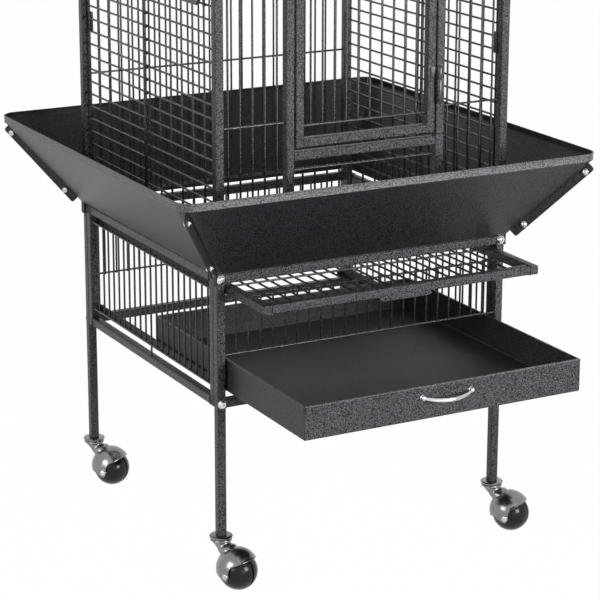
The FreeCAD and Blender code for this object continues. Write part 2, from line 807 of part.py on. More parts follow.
def panel_clips():
    """Blocks that tie each side panel's edge to the posts."""
    for sx in (-1, 1):
        x0 = sx * (panel_x - wire_r - layer_gap)
        x1 = x0 - sx * clip_sheet
        for sy in (-1, 1):
            y0 = sy * in_d
            y1 = sy * (in_d - clip_depth)
            for level in clip_levels:
                z = stand_top + level
                add("panel_clips", box(min(x0, x1), max(x0, x1), min(y0, y1), max(y0, y1),
                                       z - clip_height / 2, z + clip_height / 2))


def feeder_hinge(sx):
    """The upright rod that a feeder door turns on."""
    x = sx * (panel_level_x + wire_r + layer_gap + feeder_hinge_rod / 2)
    return V(x, feeder_y0 - feeder_hinge_reach, feeder_z0)


def feeder_door(name, sx):
    """A rod loop over the opening, with cross wires and two knuckles on the hinge rod."""
    hinge = feeder_hinge(sx)
    x = sx * (panel_level_x + wire_r + feeder_clearance + rod_r)
    y0, y1 = feeder_y0 - feeder_overlap, feeder_y1 + feeder_overlap
    z0, z1 = feeder_z0 - feeder_overlap, feeder_z1 + feeder_overlap
    loop = bent_rod([V(x, y0, z0), V(x, y1, z0), V(x, y1, z1), V(x, y0, z1)],
                    feeder_corner, rod_r, closed=True)
    for row in (feeder_low_wire + feeder_knuckle_rows, feeder_high_wire - feeder_knuckle_rows):
        z = panel_z(row) - feeder_knuckle_height / 2
        knuckle = Part.makeCylinder(feeder_knuckle, feeder_knuckle_height, V(hinge.x, hinge.y, z))
        strap = box(x - feeder_strap / 2, x + feeder_strap / 2,
                    hinge.y, y0, z, z + feeder_knuckle_height)
        pin_hole = Part.makeCylinder(feeder_hinge_rod / 2 + turning_fit, feeder_knuckle_height,
                                     V(hinge.x, hinge.y, z))
        loop = loop.fuse(knuckle.fuse(strap).cut(pin_hole))
    add(name, loop.removeSplitter())
    for row in range(feeder_low_wire + 1, feeder_high_wire):
        z = panel_z(row)
        add(name, bar(V(x, y0 + rod_r, z), V(x, y1 - rod_r, z), wire_r))


# ---------------------------------------------------------------- cups and perches

holder_r = holder_rod / 2
ring_radius = cup_top_radius + holder_clearance + holder_r


def cup_and_holder(bar_x, y0, y1, z, sx):
    """A ring welded to a cross rod, with a rimmed steel cup standing in it."""
    y = (y0 + y1) / 2
    centre = V(bar_x - sx * (2 * holder_r + ring_radius), y, z)
    add("cup_holders", bar(V(bar_x, y0, z), V(bar_x, y1, z), holder_r))
    add("cup_holders", Part.makeTorus(ring_radius, holder_r, centre))
    top = z + holder_r + cup_sheet
    low = top - cup_depth
    outline = Part.makePolygon([
        V(0, 0, low), V(cup_base_radius, 0, low), V(cup_top_radius, 0, top - cup_sheet),
        V(cup_top_radius + cup_rim, 0, top - cup_sheet), V(cup_top_radius + cup_rim, 0, top),
        V(cup_top_radius - cup_sheet, 0, top), V(cup_base_radius - cup_sheet, 0, low + cup_sheet),
        V(0, 0, low + cup_sheet), V(0, 0, low)])
    cup = Part.Face(outline).revolve(V(0, 0, 0), V(0, 0, 1), 360)
    cup.translate(V(centre.x, centre.y, 0))
    add("feed_cups", cup)


def inside_cups():
    for sx in (-1, 1):
        bar_x = sx * (panel_x - wire_r - layer_gap - holder_r)
        cup_and_holder(bar_x, feeder_y0 - holder_r, feeder_y1 + holder_r, feeder_z0 + cup_level, sx)


def inside_perches():
    """Dowels clamped to both side panels by a screw, two washers and a nut at each end."""
    inner = panel_x - wire_r - layer_gap
    outer = panel_level_x + wire_r + layer_gap
    end = inner - perch_washer_sheet
    for bay, row in perch_bays:
        y = (panel_y(bay) + panel_y(bay + 1)) / 2
        z = panel_z(row + 0.5)
        dowel = bar(V(-end, y, z), V(end, y, z), perch_radius)
        for sx in (-1, 1):
            axis = V(sx, 0, 0)
            blind = V(sx * (end - perch_screw_depth), y, z)
            dowel = dowel.cut(disc(blind, axis, perch_screw + turning_fit, perch_screw_depth))
            tip = outer + perch_washer_sheet + perch_nut_height
            screw = disc(blind, axis, perch_screw, tip - end + perch_screw_depth)
            add("perch_fasteners", screw)
            for x in (end, outer):
                washer = disc(V(sx * x, y, z), axis, perch_washer, perch_washer_sheet)
                washer = washer.cut(disc(V(sx * x, y, z), axis, perch_screw + turning_fit,
                                         perch_washer_sheet))
                add("perch_fasteners", washer)
            add("perch_fasteners", hexagon(V(sx * (outer + perch_washer_sheet), y, z), axis, perch_nut,
                                           perch_nut_height, perch_screw + turning_fit))
        add("inside_perches", dowel)


# ---------------------------------------------------------------- roof and play stand

def roof():
    for sx in (-1, 1):
        add("roof_rails", tube_y(sx * post_x, -in_d, in_d, cage_top - mid))
    z = cage_top - mid
    for x in spread(count_between(2 * in_w, wire_pitch), wire_pitch):
        add("roof_wires", bar(V(x, -in_d, z), V(x, in_d, z), wire_r))
    z += wire + layer_gap
    for y in divide(2 * in_d, cross_spacing):
        add("roof_wires", bar(V(-in_w, y, z), V(in_w, y, z), wire_r))


def play_stand():
    gym_r = gym_rod / 2
    top = cage_top + gym_height
    perch_z = top + perch_radius
    dowel = bar(V(-half_w, 0, perch_z), V(half_w, 0, perch_z), perch_radius)
    for sx in (-1, 1):
        x = sx * post_x
        corners = [V(x, -gym_half_span, cage_top), V(x, -gym_half_span, top),
                   V(x, gym_half_span, top), V(x, gym_half_span, cage_top)]
        add("play_stand_hoops", bent_rod(corners, gym_bend, gym_r))
        dowel = dowel.cut(bar(V(x, -perch_radius, top), V(x, perch_radius, top), gym_r + turning_fit))
        cup_and_holder(x, -gym_half_span + gym_r, gym_half_span - gym_r, top - gym_cup_drop, sx)
    add("play_stand_perch", dowel)


# ---------------------------------------------------------------- front door

door_half = jamb_in - door_side_gap
door_y = -post_y
front_face = -half_d
hinge_x = jamb_in + hinge_offset
hinge_y = front_face - leaf_gap - hinge_radius
latch_x = -(door_half - mid)
latch_z = door_low + latch_height


def door():
    for sx in (-1, 1):
        stile = tube_z(sx * (door_half - mid), door_y, door_low, door_top)
        if sx < 0:
            stile = stile.cut(disc(V(latch_x, front_face, latch_z), V(0, 1, 0),
                                   latch_screw + bolt_hole_clearance, mid))
        add("door_frame", stile)
    for z in (door_low + mid, door_top - mid):
        add("door_frame", tube_x(-(door_half - tube), door_half - tube, door_y, z))
    low = door_low + door_wire_low
    high = door_top - tube
    places = spread(count_inside(2 * (door_half - tube), front_pitch), front_pitch)
    upright_wires("door_wires", places, -1, low - wire_r, high)
    levels = [low]
    while levels[-1] + door_wire_spacing < high:
        levels.append(levels[-1] + door_wire_spacing)
    level_wires("door_wires", -(door_half - tube), door_half - tube, -1, levels)


def hinges():
    """Two lift-off hinges: a long knuckle on the jamb, a short one on the door above it."""
    for z0 in (door_low + hinge_height, door_top - hinge_height - hinge_length):
        seat = z0 + hinge_length - hinge_door_share
        half_gap = leaf_gap / 2
        jamb = Part.makeCylinder(hinge_radius, seat - half_gap - z0, V(hinge_x, hinge_y, z0))
        jamb = jamb.fuse(box(hinge_x, hinge_x + hinge_leaf, front_face - hinge_leaf_sheet, front_face,
                             z0, seat - half_gap))
        leaf = Part.makeCylinder(hinge_radius, hinge_door_share - half_gap,
                                 V(hinge_x, hinge_y, seat + half_gap))
        leaf = leaf.fuse(box(door_half - hinge_leaf, jamb_in - leaf_gap, front_face - hinge_leaf_sheet,
                             front_face, seat + half_gap, z0 + hinge_length))
        pin_hole = Part.makeCylinder(hinge_pin + turning_fit, hinge_length, V(hinge_x, hinge_y, z0))
        add("hinge_jamb_leaves", jamb.cut(pin_hole).removeSplitter())
        add("hinge_door_leaves", leaf.cut(pin_hole).removeSplitter())
        add("hinge_pins", Part.makeCylinder(hinge_pin, hinge_length, V(hinge_x, hinge_y, z0)))


def latch():
    """A turning bar on the door that drops behind a keeper on the jamb."""
    back = front_face - running_gap
    face = back - latch_sheet
    half = latch_bar / 2
    pivot = V(latch_x, face, latch_z)
    end = V(latch_x, face, latch_z + latch_length)
    lever = box(latch_x - half, latch_x + half, face, back, latch_z, latch_z + latch_length)
    into = V(0, 1, 0)
    lever = lever.multiFuse([disc(pivot, into, half, latch_sheet), disc(end, into, half, latch_sheet)])
    lever = lever.cut(disc(pivot, into, latch_screw + turning_fit, latch_sheet)).removeSplitter()
    add("door_latch", lever)
    head_seat = V(latch_x, face - running_gap, latch_z)
    add("latch_screw", button(head_seat, V(0, -1, 0), latch_screw_head, latch_screw_head_height,
                              latch_screw, latch_sheet + 2 * running_gap + mid / 2))
    x = -jamb_x
    shelf_z = latch_z - half - running_gap
    lip_y = face - running_gap
    foot = box(x - keeper_width / 2, x + keeper_width / 2, front_face - keeper_sheet, front_face,
               shelf_z - keeper_foot, shelf_z)
    shelf = box(x - keeper_width / 2, x + keeper_width / 2, lip_y - keeper_sheet, front_face,
                shelf_z - keeper_sheet, shelf_z)
    lip = box(x - keeper_width / 2, x + keeper_width / 2, lip_y - keeper_sheet, lip_y,
              shelf_z - keeper_sheet, shelf_z + keeper_lip)
    add("latch_keeper", foot.multiFuse([shelf, lip]).removeSplitter())


# ---------------------------------------------------------------- grille and tray

grille_half = in_w - grille_side_gap
grille_depth = half_d + grille_closed_reach + in_d - grille_rear_gap
grille_front = -(half_d + grille_closed_reach + grille_open_now)
tray_half = in_w - tray_side_gap
tray_depth = half_d + tray_closed_reach + in_d - tray_rear_gap
tray_front = -(half_d + tray_closed_reach + tray_open_now)
handle_z = tray_top - handle_drop


def grille():
    z = grille_low + mid
    half = grille_half
    front = grille_front + mid
    rear = grille_front + grille_depth - mid
    for y in (front, rear):
        add("grille_frame", tube_x(-half, half, y, z))
    for sx in (-1, 1):
        add("grille_frame", tube_y(sx * (half - mid), front + mid, rear - mid, z))
    for x in spread(count_between(2 * (half - tube), wire_pitch), wire_pitch):
        add("grille_wires", bar(V(x, front + mid, z), V(x, rear - mid, z), wire_r))
    z += wire + layer_gap
    middle = (front + rear) / 2
    for y in divide(rear - front - tube, cross_spacing):
        add("grille_wires", bar(V(-(half - tube), middle + y, z), V(half - tube, middle + y, z), wire_r))
    add("grille_pull", box(-pull_width / 2, pull_width / 2, grille_front, grille_front + pull_sheet,
                           grille_low - pull_height, grille_low))


def debris_tray():
    half = tray_half
    rear = tray_front + tray_depth
    pan = box(-half, half, tray_front, rear, tray_low, tray_top)
    inner = half - tray_sheet
    pan = pan.cut(box(-inner, inner, tray_front + tray_sheet, rear - tray_sheet,
                      tray_low + tray_sheet, tray_top - tray_sheet))
    mouth = half - tray_hem
    pan = pan.cut(box(-mouth, mouth, tray_front + tray_hem, rear - tray_hem,
                      tray_top - tray_sheet, tray_top))
    for sx in (-1, 1):
        pan = pan.cut(disc(V(sx * handle_span / 2, tray_front, handle_z), V(0, 1, 0),
                           screw_shank + screw_clearance, tray_sheet))
    add("debris_tray", pan)


def tray_handle():
    """A bow handle that sags a little, screwed on from inside the tray."""
    out = V(0, -1, 0)
    seat_y = tray_front - handle_boss_length
    left = V(-handle_span / 2, seat_y, handle_z)
    right = V(handle_span / 2, seat_y, handle_z)
    crest = V(0, tray_front - handle_bow, handle_z - handle_sag)
    edge = Part.Arc(left, crest, right).toShape()
    section = Part.Wire(Part.makeCircle(handle_rod / 2, left, edge.tangentAt(edge.FirstParameter)))
    bow = Part.Wire([edge]).makePipeShell([section], True, False)
    for foot in (left, right):
        seat = V(foot.x, tray_front, handle_z)
        boss = disc(seat, out, handle_boss / 2, handle_boss_length)
        bow = bow.multiFuse([boss, Part.makeSphere(handle_shoulder, foot)])
        bow = bow.cut(box(foot.x - handle_boss, foot.x + handle_boss, tray_front, tray_front + handle_boss,
                          handle_z - handle_boss, handle_z + handle_boss))
    for foot in (left, right):
        hole = disc(V(foot.x, tray_front, handle_z), out, screw_shank + screw_clearance, handle_boss_length)
        bow = bow.cut(hole)
        inside = V(foot.x, tray_front + tray_sheet, handle_z)
        add("handle_screws", button(inside, V(0, 1, 0), screw_head, screw_head_height,
                                    screw_shank, tray_sheet + handle_boss_length - running_gap))
    add("tray_handle", bow.removeSplitter())


# ---------------------------------------------------------------- the whole part

stand_end_frame("stand_front_frame", -post_y)
stand_end_frame("stand_rear_frame", post_y)
stand_side_frame("stand_left_frame", -1)
stand_side_frame("stand_right_frame", 1)
side_frame_wires(-1)
side_frame_wires(1)
guard("front_guard", -post_y, -1, guard_high + wire_r)
guard("rear_guard", post_y, 1, top_rail_low)
runners("grille_runners", grille_low - running_gap)
runners("tray_runners", tray_low - running_gap)
stand_bolts()
for name, sx, sy in (("front_left", -1, -1), ("front_right", 1, -1),
                     ("rear_left", -1, 1), ("rear_right", 1, 1)):
    caster(name, sx * post_x, sy * post_y)
skirt()
couplers()
cage_front_frame()
cage_rear_frame()
front_wires()
rear_wires()
side_panel("left_panel", -1)
side_panel("right_panel", 1)
panel_clips()
feeder_door("feeder_door_left", -1)
feeder_door("feeder_door_right", 1)
inside_cups()
inside_perches()
roof()
play_stand()
door()
hinges()
latch()
grille()
debris_tray()
tray_handle()

front_reach = tray_front - handle_bow - handle_rod / 2
rear_reach = skirt_half(skirt_bend) + half_d - half_w + skirt_lip_step - skirt_sheet / 2 + rim_bead / 2
shift = V(0, -(front_reach + rear_reach) / 2, 0)

os.makedirs("parts", exist_ok=True)
for name, solids in parts.items():
    for solid in solids:
        solid.translate(shift)
    shape = solids[0] if len(solids) == 1 else Part.makeCompound(solids)
    shape.exportStep("parts/" + name + ".step")
print("nodes", len(parts), "solids", sum(len(s) for s in parts.values()), "shift", shift.y)
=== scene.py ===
import json
import math
from math import cos, pi, radians, sin

import bmesh
import bpy
import numpy as np
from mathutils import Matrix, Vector

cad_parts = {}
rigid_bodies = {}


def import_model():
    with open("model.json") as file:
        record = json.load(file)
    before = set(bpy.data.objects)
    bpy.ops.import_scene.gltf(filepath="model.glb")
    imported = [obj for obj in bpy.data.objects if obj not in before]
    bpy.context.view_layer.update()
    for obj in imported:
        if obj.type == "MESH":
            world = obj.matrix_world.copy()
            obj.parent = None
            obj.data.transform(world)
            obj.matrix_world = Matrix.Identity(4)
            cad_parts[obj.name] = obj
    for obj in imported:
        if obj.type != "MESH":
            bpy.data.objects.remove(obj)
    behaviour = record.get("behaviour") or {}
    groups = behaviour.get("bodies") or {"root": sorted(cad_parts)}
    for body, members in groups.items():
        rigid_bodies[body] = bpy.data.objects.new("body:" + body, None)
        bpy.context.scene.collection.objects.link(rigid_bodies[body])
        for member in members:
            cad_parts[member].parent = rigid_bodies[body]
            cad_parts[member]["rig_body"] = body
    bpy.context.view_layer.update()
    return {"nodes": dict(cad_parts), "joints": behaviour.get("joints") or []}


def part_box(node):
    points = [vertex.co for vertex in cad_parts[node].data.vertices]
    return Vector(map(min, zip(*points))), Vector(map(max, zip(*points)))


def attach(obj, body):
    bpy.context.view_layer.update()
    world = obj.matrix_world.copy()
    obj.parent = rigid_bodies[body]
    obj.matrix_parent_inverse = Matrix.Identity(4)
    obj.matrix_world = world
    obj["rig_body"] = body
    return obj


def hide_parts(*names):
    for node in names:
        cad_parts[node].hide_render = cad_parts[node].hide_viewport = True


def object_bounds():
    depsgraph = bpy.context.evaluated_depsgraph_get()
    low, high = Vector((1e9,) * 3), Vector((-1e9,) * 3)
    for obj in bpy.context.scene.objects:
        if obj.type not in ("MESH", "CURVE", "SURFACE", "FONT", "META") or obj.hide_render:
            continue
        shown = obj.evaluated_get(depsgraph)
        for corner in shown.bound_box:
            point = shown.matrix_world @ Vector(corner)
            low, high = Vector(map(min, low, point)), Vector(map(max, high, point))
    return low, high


# A square wire bird cage on its rolling stand. Metres, +Z up, front towards -Y.
# Places come from the boxes of the frame's own nodes.

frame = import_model()
nodes = frame["nodes"]
print("frame loaded:", len(nodes), "nodes")

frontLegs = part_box("stand_front_frame")
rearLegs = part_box("stand_rear_frame")
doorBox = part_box("door_frame")
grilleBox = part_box("grille_frame")
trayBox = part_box("debris_tray")

tube = frontLegs[1].y - frontLegs[0].y
halfWidth = frontLegs[1].x
frontY = frontLegs[0].y
rearY = rearLegs[1].y
cageY = (frontY + rearY) / 2        # middle of the cage, front to back
legFoot = frontLegs[0].z
standTop = frontLegs[1].z
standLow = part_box("stand_left_frame")[0].z
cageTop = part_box("cage_front_frame")[1].z
postX = halfWidth - tube / 2
postY = (rearY - frontY) / 2 - tube / 2
upward = Vector((0, 0, 1))


# meshes

def newMesh(name, verts, faces):
    mesh = bpy.data.meshes.new(name)
    mesh.from_pydata([tuple(v) for v in verts], [], faces)
    mesh.update()
    return mesh


def outwardMesh(name, verts, faces):
    mesh = newMesh(name, verts, faces)
    bm = bmesh.new()
    bm.from_mesh(mesh)
    bmesh.ops.recalc_face_normals(bm, faces=bm.faces)
    bm.to_mesh(mesh)
    bm.free()
    return mesh


def joined(name, parts):
    # one mesh out of meshes and of (verts, faces) pairs
    bm = bmesh.new()
    for part in parts:
        bm.from_mesh(part if isinstance(part, bpy.types.Mesh) else newMesh(name, *part))
    mesh = bpy.data.meshes.new(name)
    bm.to_mesh(mesh)
    bm.free()
    return mesh


def placeObject(name, data):
    obj = bpy.data.objects.new(name, data)
    bpy.context.scene.collection.objects.link(obj)
    return obj


def addPiece(name, parts, sharp, finish, slot, body, *replaced):
    # sharp: the angle in degrees above which an edge stays crisp
    mesh = joined(name, parts)
    mesh.shade_smooth()
    if sharp:
        mesh.set_sharp_from_angle(angle=radians(sharp))
    mesh.materials.append(finish)
    obj = placeObject(name, mesh)
    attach(obj, body)
    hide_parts(*replaced)
    return obj


def levelFaces(obj):
    # flat sides stay flat beside their rounded edges
    obj.modifiers.new("flatSides", "WEIGHTED_NORMAL").keep_sharp = True


def stackRings(rings, closeLow=True, closeHigh=True):
    # rings of equal length, each anticlockwise about the way the stack runs
    count = len(rings[0])
    verts = [p for ring in rings for p in ring]
    faces = []
    for base in range(0, len(verts) - count, count):
        for i in range(count):
            j = (i + 1) % count
            faces.append((base + i, base + j, base + count + j, base + count + i))
    if closeLow:
        faces.append(tuple(reversed(range(count))))
    if closeHigh:
        faces.append(tuple(range(len(verts) - count, len(verts))))
    return verts, faces


def closeOnPoints(verts, faces, count, low, high):
    # fans from the first and the last ring of a stack to a point beyond each
    last, tip = len(verts) - count, len(verts)
    verts += [low, high]
    for i in range(count):
        j = (i + 1) % count
        faces += [(tip, j, i), (tip + 1, last + i, last + j)]
    return verts, faces


def circlePoints(centre, radius, count):
    turns = [2 * pi * i / count for i in range(count)]
    return [Vector((centre.x + radius * cos(turn), centre.y + radius * sin(turn), centre.z))
            for turn in turns]


def spun(profile, centre, axis, steps):
    # profile: (radius, height) pairs that start and end on the axis
    turn = upward.rotation_difference(Vector(axis)).to_matrix()

    def turned(point):
        return centre + turn @ point

    rings = [[turned(p) for p in circlePoints(Vector((0, 0, height)), radius, steps)]
             for radius, height in profile[1:-1]]
    ends = [turned(Vector((0, 0, profile[k][1]))) for k in (0, -1)]
    return closeOnPoints(*stackRings(rings, False, False), steps, *ends)


def roundedRect(halfX, halfY, radius, steps, centre, z):
    ring = []
    for quarter, (sx, sy) in enumerate(((1, 1), (-1, 1), (-1, -1), (1, -1))):
        for i in range(steps + 1):
            angle = pi / 2 * (quarter + i / steps)
            ring.append(Vector((centre.x + sx * (halfX - radius) + radius * cos(angle),
                                centre.y + sy * (halfY - radius) + radius * sin(angle), z)))
    return ring


def softBar(low, high, corner):
    # a small bar with soft long edges, along Z
    half, middle = (high - low) / 2, (low + high) / 2
    return stackRings([roundedRect(half.x, half.y, corner, 2, middle, z) for z in (low.z, high.z)])


def longest(low, high):
    return max(range(3), key=lambda i: high[i] - low[i])


def looseBoxes(*names):
    # low and high corner of each loose solid in some CAD nodes
    boxes = []
    for name in names:
        mesh = nodes[name].data
        points = np.empty(len(mesh.vertices) * 3)
        mesh.vertices.foreach_get("co", points)
        cells, place = np.unique(np.round(points.reshape(-1, 3), 6), axis=0, return_inverse=True)
        corners = np.empty(len(mesh.loops), int)
        mesh.loops.foreach_get("vertex_index", corners)
        faces = place.reshape(-1)[corners].reshape(-1, 3)
        label = np.arange(len(cells))
        settled = False
        while not settled:
            before = label.copy()
            lowest = label[faces].min(axis=1)
            for k in range(3):
                np.minimum.at(label, faces[:, k], lowest)
            label = label[label]
            settled = bool((label == before).all())
        for one in np.unique(label):
            solid = cells[label == one]
            boxes.append((Vector(solid.min(axis=0)), Vector(solid.max(axis=0))))
    return boxes


# nodes

def setInputs(tree, node, inputs):
    # inputs by name or number: a value is set, a socket or a node's first output is linked
    for label, value in inputs.items():
        if isinstance(value, bpy.types.Node):
            value = value.outputs[0]
        if isinstance(value, bpy.types.NodeSocket):
            tree.links.new(value, node.inputs[label])
        else:
            node.inputs[label].default_value = value


def addNode(tree, kind, inputs=None, **settings):
    node = tree.nodes.new(kind)
    for label, value in settings.items():
        setattr(node, label, value)
    setInputs(tree, node, inputs or {})
    return node


def nodeMath(tree, operation, first, second):
    return addNode(tree, "ShaderNodeMath", {0: first, 1: second}, operation=operation)


def nodeSum(tree, base, value, factor):
    return nodeMath(tree, "ADD", base, nodeMath(tree, "MULTIPLY", value, factor))


def nodeNoise(tree, vector, scale, detail=2.0, roughness=0.5):
    return addNode(tree, "ShaderNodeTexNoise",
                   {"Vector": vector, "Scale": scale, "Detail": detail, "Roughness": roughness})


def nodeRamp(tree, value, low, high):
    return addNode(tree, "ShaderNodeMapRange", {"Value": value, "From Min": low, "From Max": high},
                   interpolation_type="SMOOTHSTEP")


def nodeMix(tree, share, first, second):
    return addNode(tree, "ShaderNodeMix", {0: share, 6: first, 7: second}, data_type="RGBA").outputs[2]


def newTree(name, **inputs):
    tree = bpy.data.node_groups.new(name, "GeometryNodeTree")
    tree.interface.new_socket("Geometry", in_out="OUTPUT", socket_type="NodeSocketGeometry")
    for label, kind in {"Geometry": "Geometry", **inputs, "Finish": "Material"}.items():
        tree.interface.new_socket(label, in_out="INPUT", socket_type="NodeSocket" + kind)
    return tree, tree.nodes.new("NodeGroupInput").outputs


def finishTree(tree, geometry, given):
    realize = addNode(tree, "GeometryNodeRealizeInstances", {"Geometry": geometry})
    paint = addNode(tree, "GeometryNodeSetMaterial", {"Geometry": realize, "Material": given["Finish"]})
    addNode(tree, "NodeGroupOutput", {"Geometry": paint})
    return tree


def namedField(tree, kind, name):
    field = addNode(tree, "GeometryNodeInputNamedAttribute", {"Name": name}, data_type=kind)
    return next(s for s in field.outputs if s.name == "Attribute" and s.enabled)


def onPoints(tree, given, shape, scale):
    # the shape at every point, its Z along the point's facing
    align = addNode(tree, "FunctionNodeAlignRotationToVector",
                    {"Vector": namedField(tree, "FLOAT_VECTOR", "facing")}, axis="Z")
    return addNode(tree, "GeometryNodeInstanceOnPoints",
                   {"Points": given["Geometry"], "Instance": shape, "Rotation": align, "Scale": scale})


tubeLook = {"corner": 0.002, "cornerSteps": 3, "endChamfer": 0.0004, "sharp": 40}
rodLook = {"bendSteps": 8}
weldLook = {"bead": 0.0009, "ripple": 0.0008, "pitch": 420.0, "around": 40, "sides": 6, "cornerSteps": 2,
            "proud": 0.4, "touch": 0.0002}


def sweptCurve(tree, curve, circle, inputs):
    sweep = addNode(tree, "GeometryNodeCurveToMesh", {"Curve": curve, "Profile Curve": circle, **inputs})
    return addNode(tree, "GeometryNodeSetShadeSmooth", {"Geometry": sweep})


def rodTree():
    # edges become round rods as thick as their points say, filleted at their bends
    tree, given = newTree("bentRods", Bend="Float", Sides="Int")
    line = addNode(tree, "GeometryNodeMeshToCurve", {"Mesh": given["Geometry"]})
    fillet = addNode(tree, "GeometryNodeFilletCurve",
                     {"Curve": line, "Radius": given["Bend"], "Count": rodLook["bendSteps"]}, mode="POLY")
    circle = addNode(tree, "GeometryNodeCurvePrimitiveCircle", {"Radius": 1.0, "Resolution": given["Sides"]})
    thickness = namedField(tree, "FLOAT", "thickness")
    return finishTree(tree, sweptCurve(tree, fillet, circle, {"Scale": thickness, "Fill Caps": True}), given)


def scatterTree():
    tree, given = newTree("setInPlace", Shape="Object")
    shape = addNode(tree, "GeometryNodeObjectInfo", {"Object": given["Shape"]}).outputs["Geometry"]
    return finishTree(tree, onPoints(tree, given, shape, namedField(tree, "FLOAT", "size")), given)


def weldTree():
    # a rippled bead round the end of a square tube
    tree, given = newTree("weldBeads", Width="Float", Bead="Float", Ripple="Float", Pitch="Float")
    square = addNode(tree, "GeometryNodeCurvePrimitiveQuadrilateral",
                     {"Width": given["Width"], "Height": given["Width"]})
    fillet = addNode(tree, "GeometryNodeFilletCurve",
                     {"Curve": square, "Count": weldLook["cornerSteps"], "Radius": tubeLook["corner"]},
                     mode="POLY")
    finer = addNode(tree, "GeometryNodeResampleCurve", {"Curve": fillet, "Count": weldLook["around"]})
    circle = addNode(tree, "GeometryNodeCurvePrimitiveCircle",
                     {"Radius": given["Bead"], "Resolution": weldLook["sides"]})
    beads = addNode(tree, "GeometryNodeRealizeInstances",
                    {"Geometry": onPoints(tree, given, sweptCurve(tree, finer, circle, {}), (1, 1, 1))})
    noise = nodeNoise(tree, addNode(tree, "GeometryNodeInputPosition"), given["Pitch"])
    swell = nodeMath(tree, "MULTIPLY", nodeMath(tree, "SUBTRACT", noise, 0.5), given["Ripple"])
    normal = addNode(tree, "GeometryNodeInputNormal")
    push = addNode(tree, "ShaderNodeVectorMath", {0: normal, "Scale": swell}, operation="SCALE")
    shift = addNode(tree, "GeometryNodeSetPosition", {"Geometry": beads, "Offset": push})
    return finishTree(tree, shift, given)


def runTree(tree, points, values, edges=(), **fields):
    # fields: one number or one direction for each point
    mesh = bpy.data.meshes.new("points")
    mesh.from_pydata([tuple(p) for p in points], list(edges), [])
    for label, numbers in fields.items():
        if isinstance(numbers[0], (int, float)):
            mesh.attributes.new(label, "FLOAT", "POINT").data.foreach_set("value", numbers)
        else:
            flat = [c for v in numbers for c in v]
            mesh.attributes.new(label, "FLOAT_VECTOR", "POINT").data.foreach_set("vector", flat)
    holder = placeObject("holder", mesh)
    modifier = holder.modifiers.new("build", "NODES")
    modifier.node_group = tree
    for item in tree.interface.items_tree:
        if item.item_type == "SOCKET" and item.in_out == "INPUT" and item.name in values:
            modifier[item.identifier] = values[item.name]
    graph = bpy.context.evaluated_depsgraph_get()
    result = bpy.data.meshes.new_from_object(holder.evaluated_get(graph))
    bpy.data.objects.remove(holder)
    return result


rods = rodTree()
setInPlace = scatterTree()
weldBeads = weldTree()


# finishes

paintLook = {
    "tubeEnamel": {"Cell": 560.0, "Dark": (0.004, 0.004, 0.0045, 1), "Pale": (0.112, 0.114, 0.119, 1),
                   "Share": 0.5, "Depth": 0.0008, "Gloss": 0.2},
    # a paler, glossier copy of the enamel: painted highlight on the skirt's rolled lip and on the tray's top
    # edge
    "paintedHighlightEnamel": {"Cell": 560.0, "Dark": (0.016, 0.0162, 0.017, 1), "Pale": (0.18, 0.182, 0.188, 1),
                  "Share": 0.5, "Depth": 0.0006, "Gloss": 0.28},
    "sheetEnamel": {"Cell": 560.0, "Dark": (0.005, 0.0051, 0.0055, 1), "Pale": (0.046, 0.0465, 0.049, 1),
                    "Share": 0.5, "Depth": 0.0004, "Gloss": 0.3},
    "trayEnamel": {"Cell": 600.0, "Dark": (0.01, 0.0102, 0.011, 1), "Pale": (0.07, 0.071, 0.075, 1),
                   "Share": 0.5, "Depth": 0.0003, "Gloss": 0.34},
    "wireEnamel": {"Cell": 420.0, "Dark": (0.006, 0.006, 0.0065, 1), "Pale": (0.036, 0.0365, 0.038, 1),
                   "Share": 0.5, "Depth": 0.0002, "Gloss": 0.16},
    "hingeEnamel": {"Cell": 500.0, "Dark": (0.012, 0.012, 0.0125, 1), "Pale": (0.055, 0.056, 0.058, 1),
                    "Share": 0.55, "Depth": 0.0002, "Gloss": 0.18}}
glossyPaints = ("paintedHighlightEnamel", "wireEnamel", "hingeEnamel")
skinLook = {"smoothness": 0.3, "grain": 1.3, "drift": 14.0, "driftLow": 0.86, "driftSpan": 0.28,
            "cellShare": 0.55, "grainShare": 0.9, "ramp": 0.17, "roughSpan": 0.14}
metalLook = {
    "brightChrome": {"Tint": (0.74, 0.74, 0.75, 1), "Shade": (0.5, 0.5, 0.52, 1), "Gloss": 0.08,
                     "Spread": 0.05, "Wave": 0.00008, "Stretch": (1, 1, 1)},
    "nickelPlate": {"Tint": (0.27, 0.27, 0.27, 1), "Shade": (0.21, 0.21, 0.21, 1), "Gloss": 0.14,
                    "Spread": 0.1, "Wave": 0.00008, "Stretch": (1, 1, 6)},
    "spunSteel": {"Tint": (0.66, 0.66, 0.66, 1), "Shade": (0.52, 0.52, 0.53, 1), "Gloss": 0.16,
                  "Spread": 0.12, "Wave": 0.0001, "Stretch": (0.3, 0.3, 14)},
    "zincPlate": {"Tint": (0.62, 0.63, 0.64, 1), "Shade": (0.5, 0.5, 0.5, 1), "Gloss": 0.28,
                  "Spread": 0.14, "Wave": 0.00012, "Stretch": (3, 3, 3)}}
ballLook = {"Tint": (0.012, 0.012, 0.013, 1), "Shade": (0.006, 0.006, 0.007, 1), "Gloss": 0.1,
            "Spread": 0.08, "Wave": 0.00008, "Stretch": (1, 1, 1)}
markLook = {"lines": 160.0, "clouds": 45.0, "shadeLow": 0.35, "shadeHigh": 0.68, "lineShare": 0.15}
woodLook = {"pale": (0.62, 0.44, 0.25, 1), "brown": (0.36, 0.21, 0.1, 1), "paleBelow": 0.3,
            "brownAbove": 0.72, "figure": 140.0, "pores": 880.0, "gloss": 0.42, "spread": 0.3,
            "depth": 0.0004, "along": (0.06, 1, 1)}     # the dowels lie along X


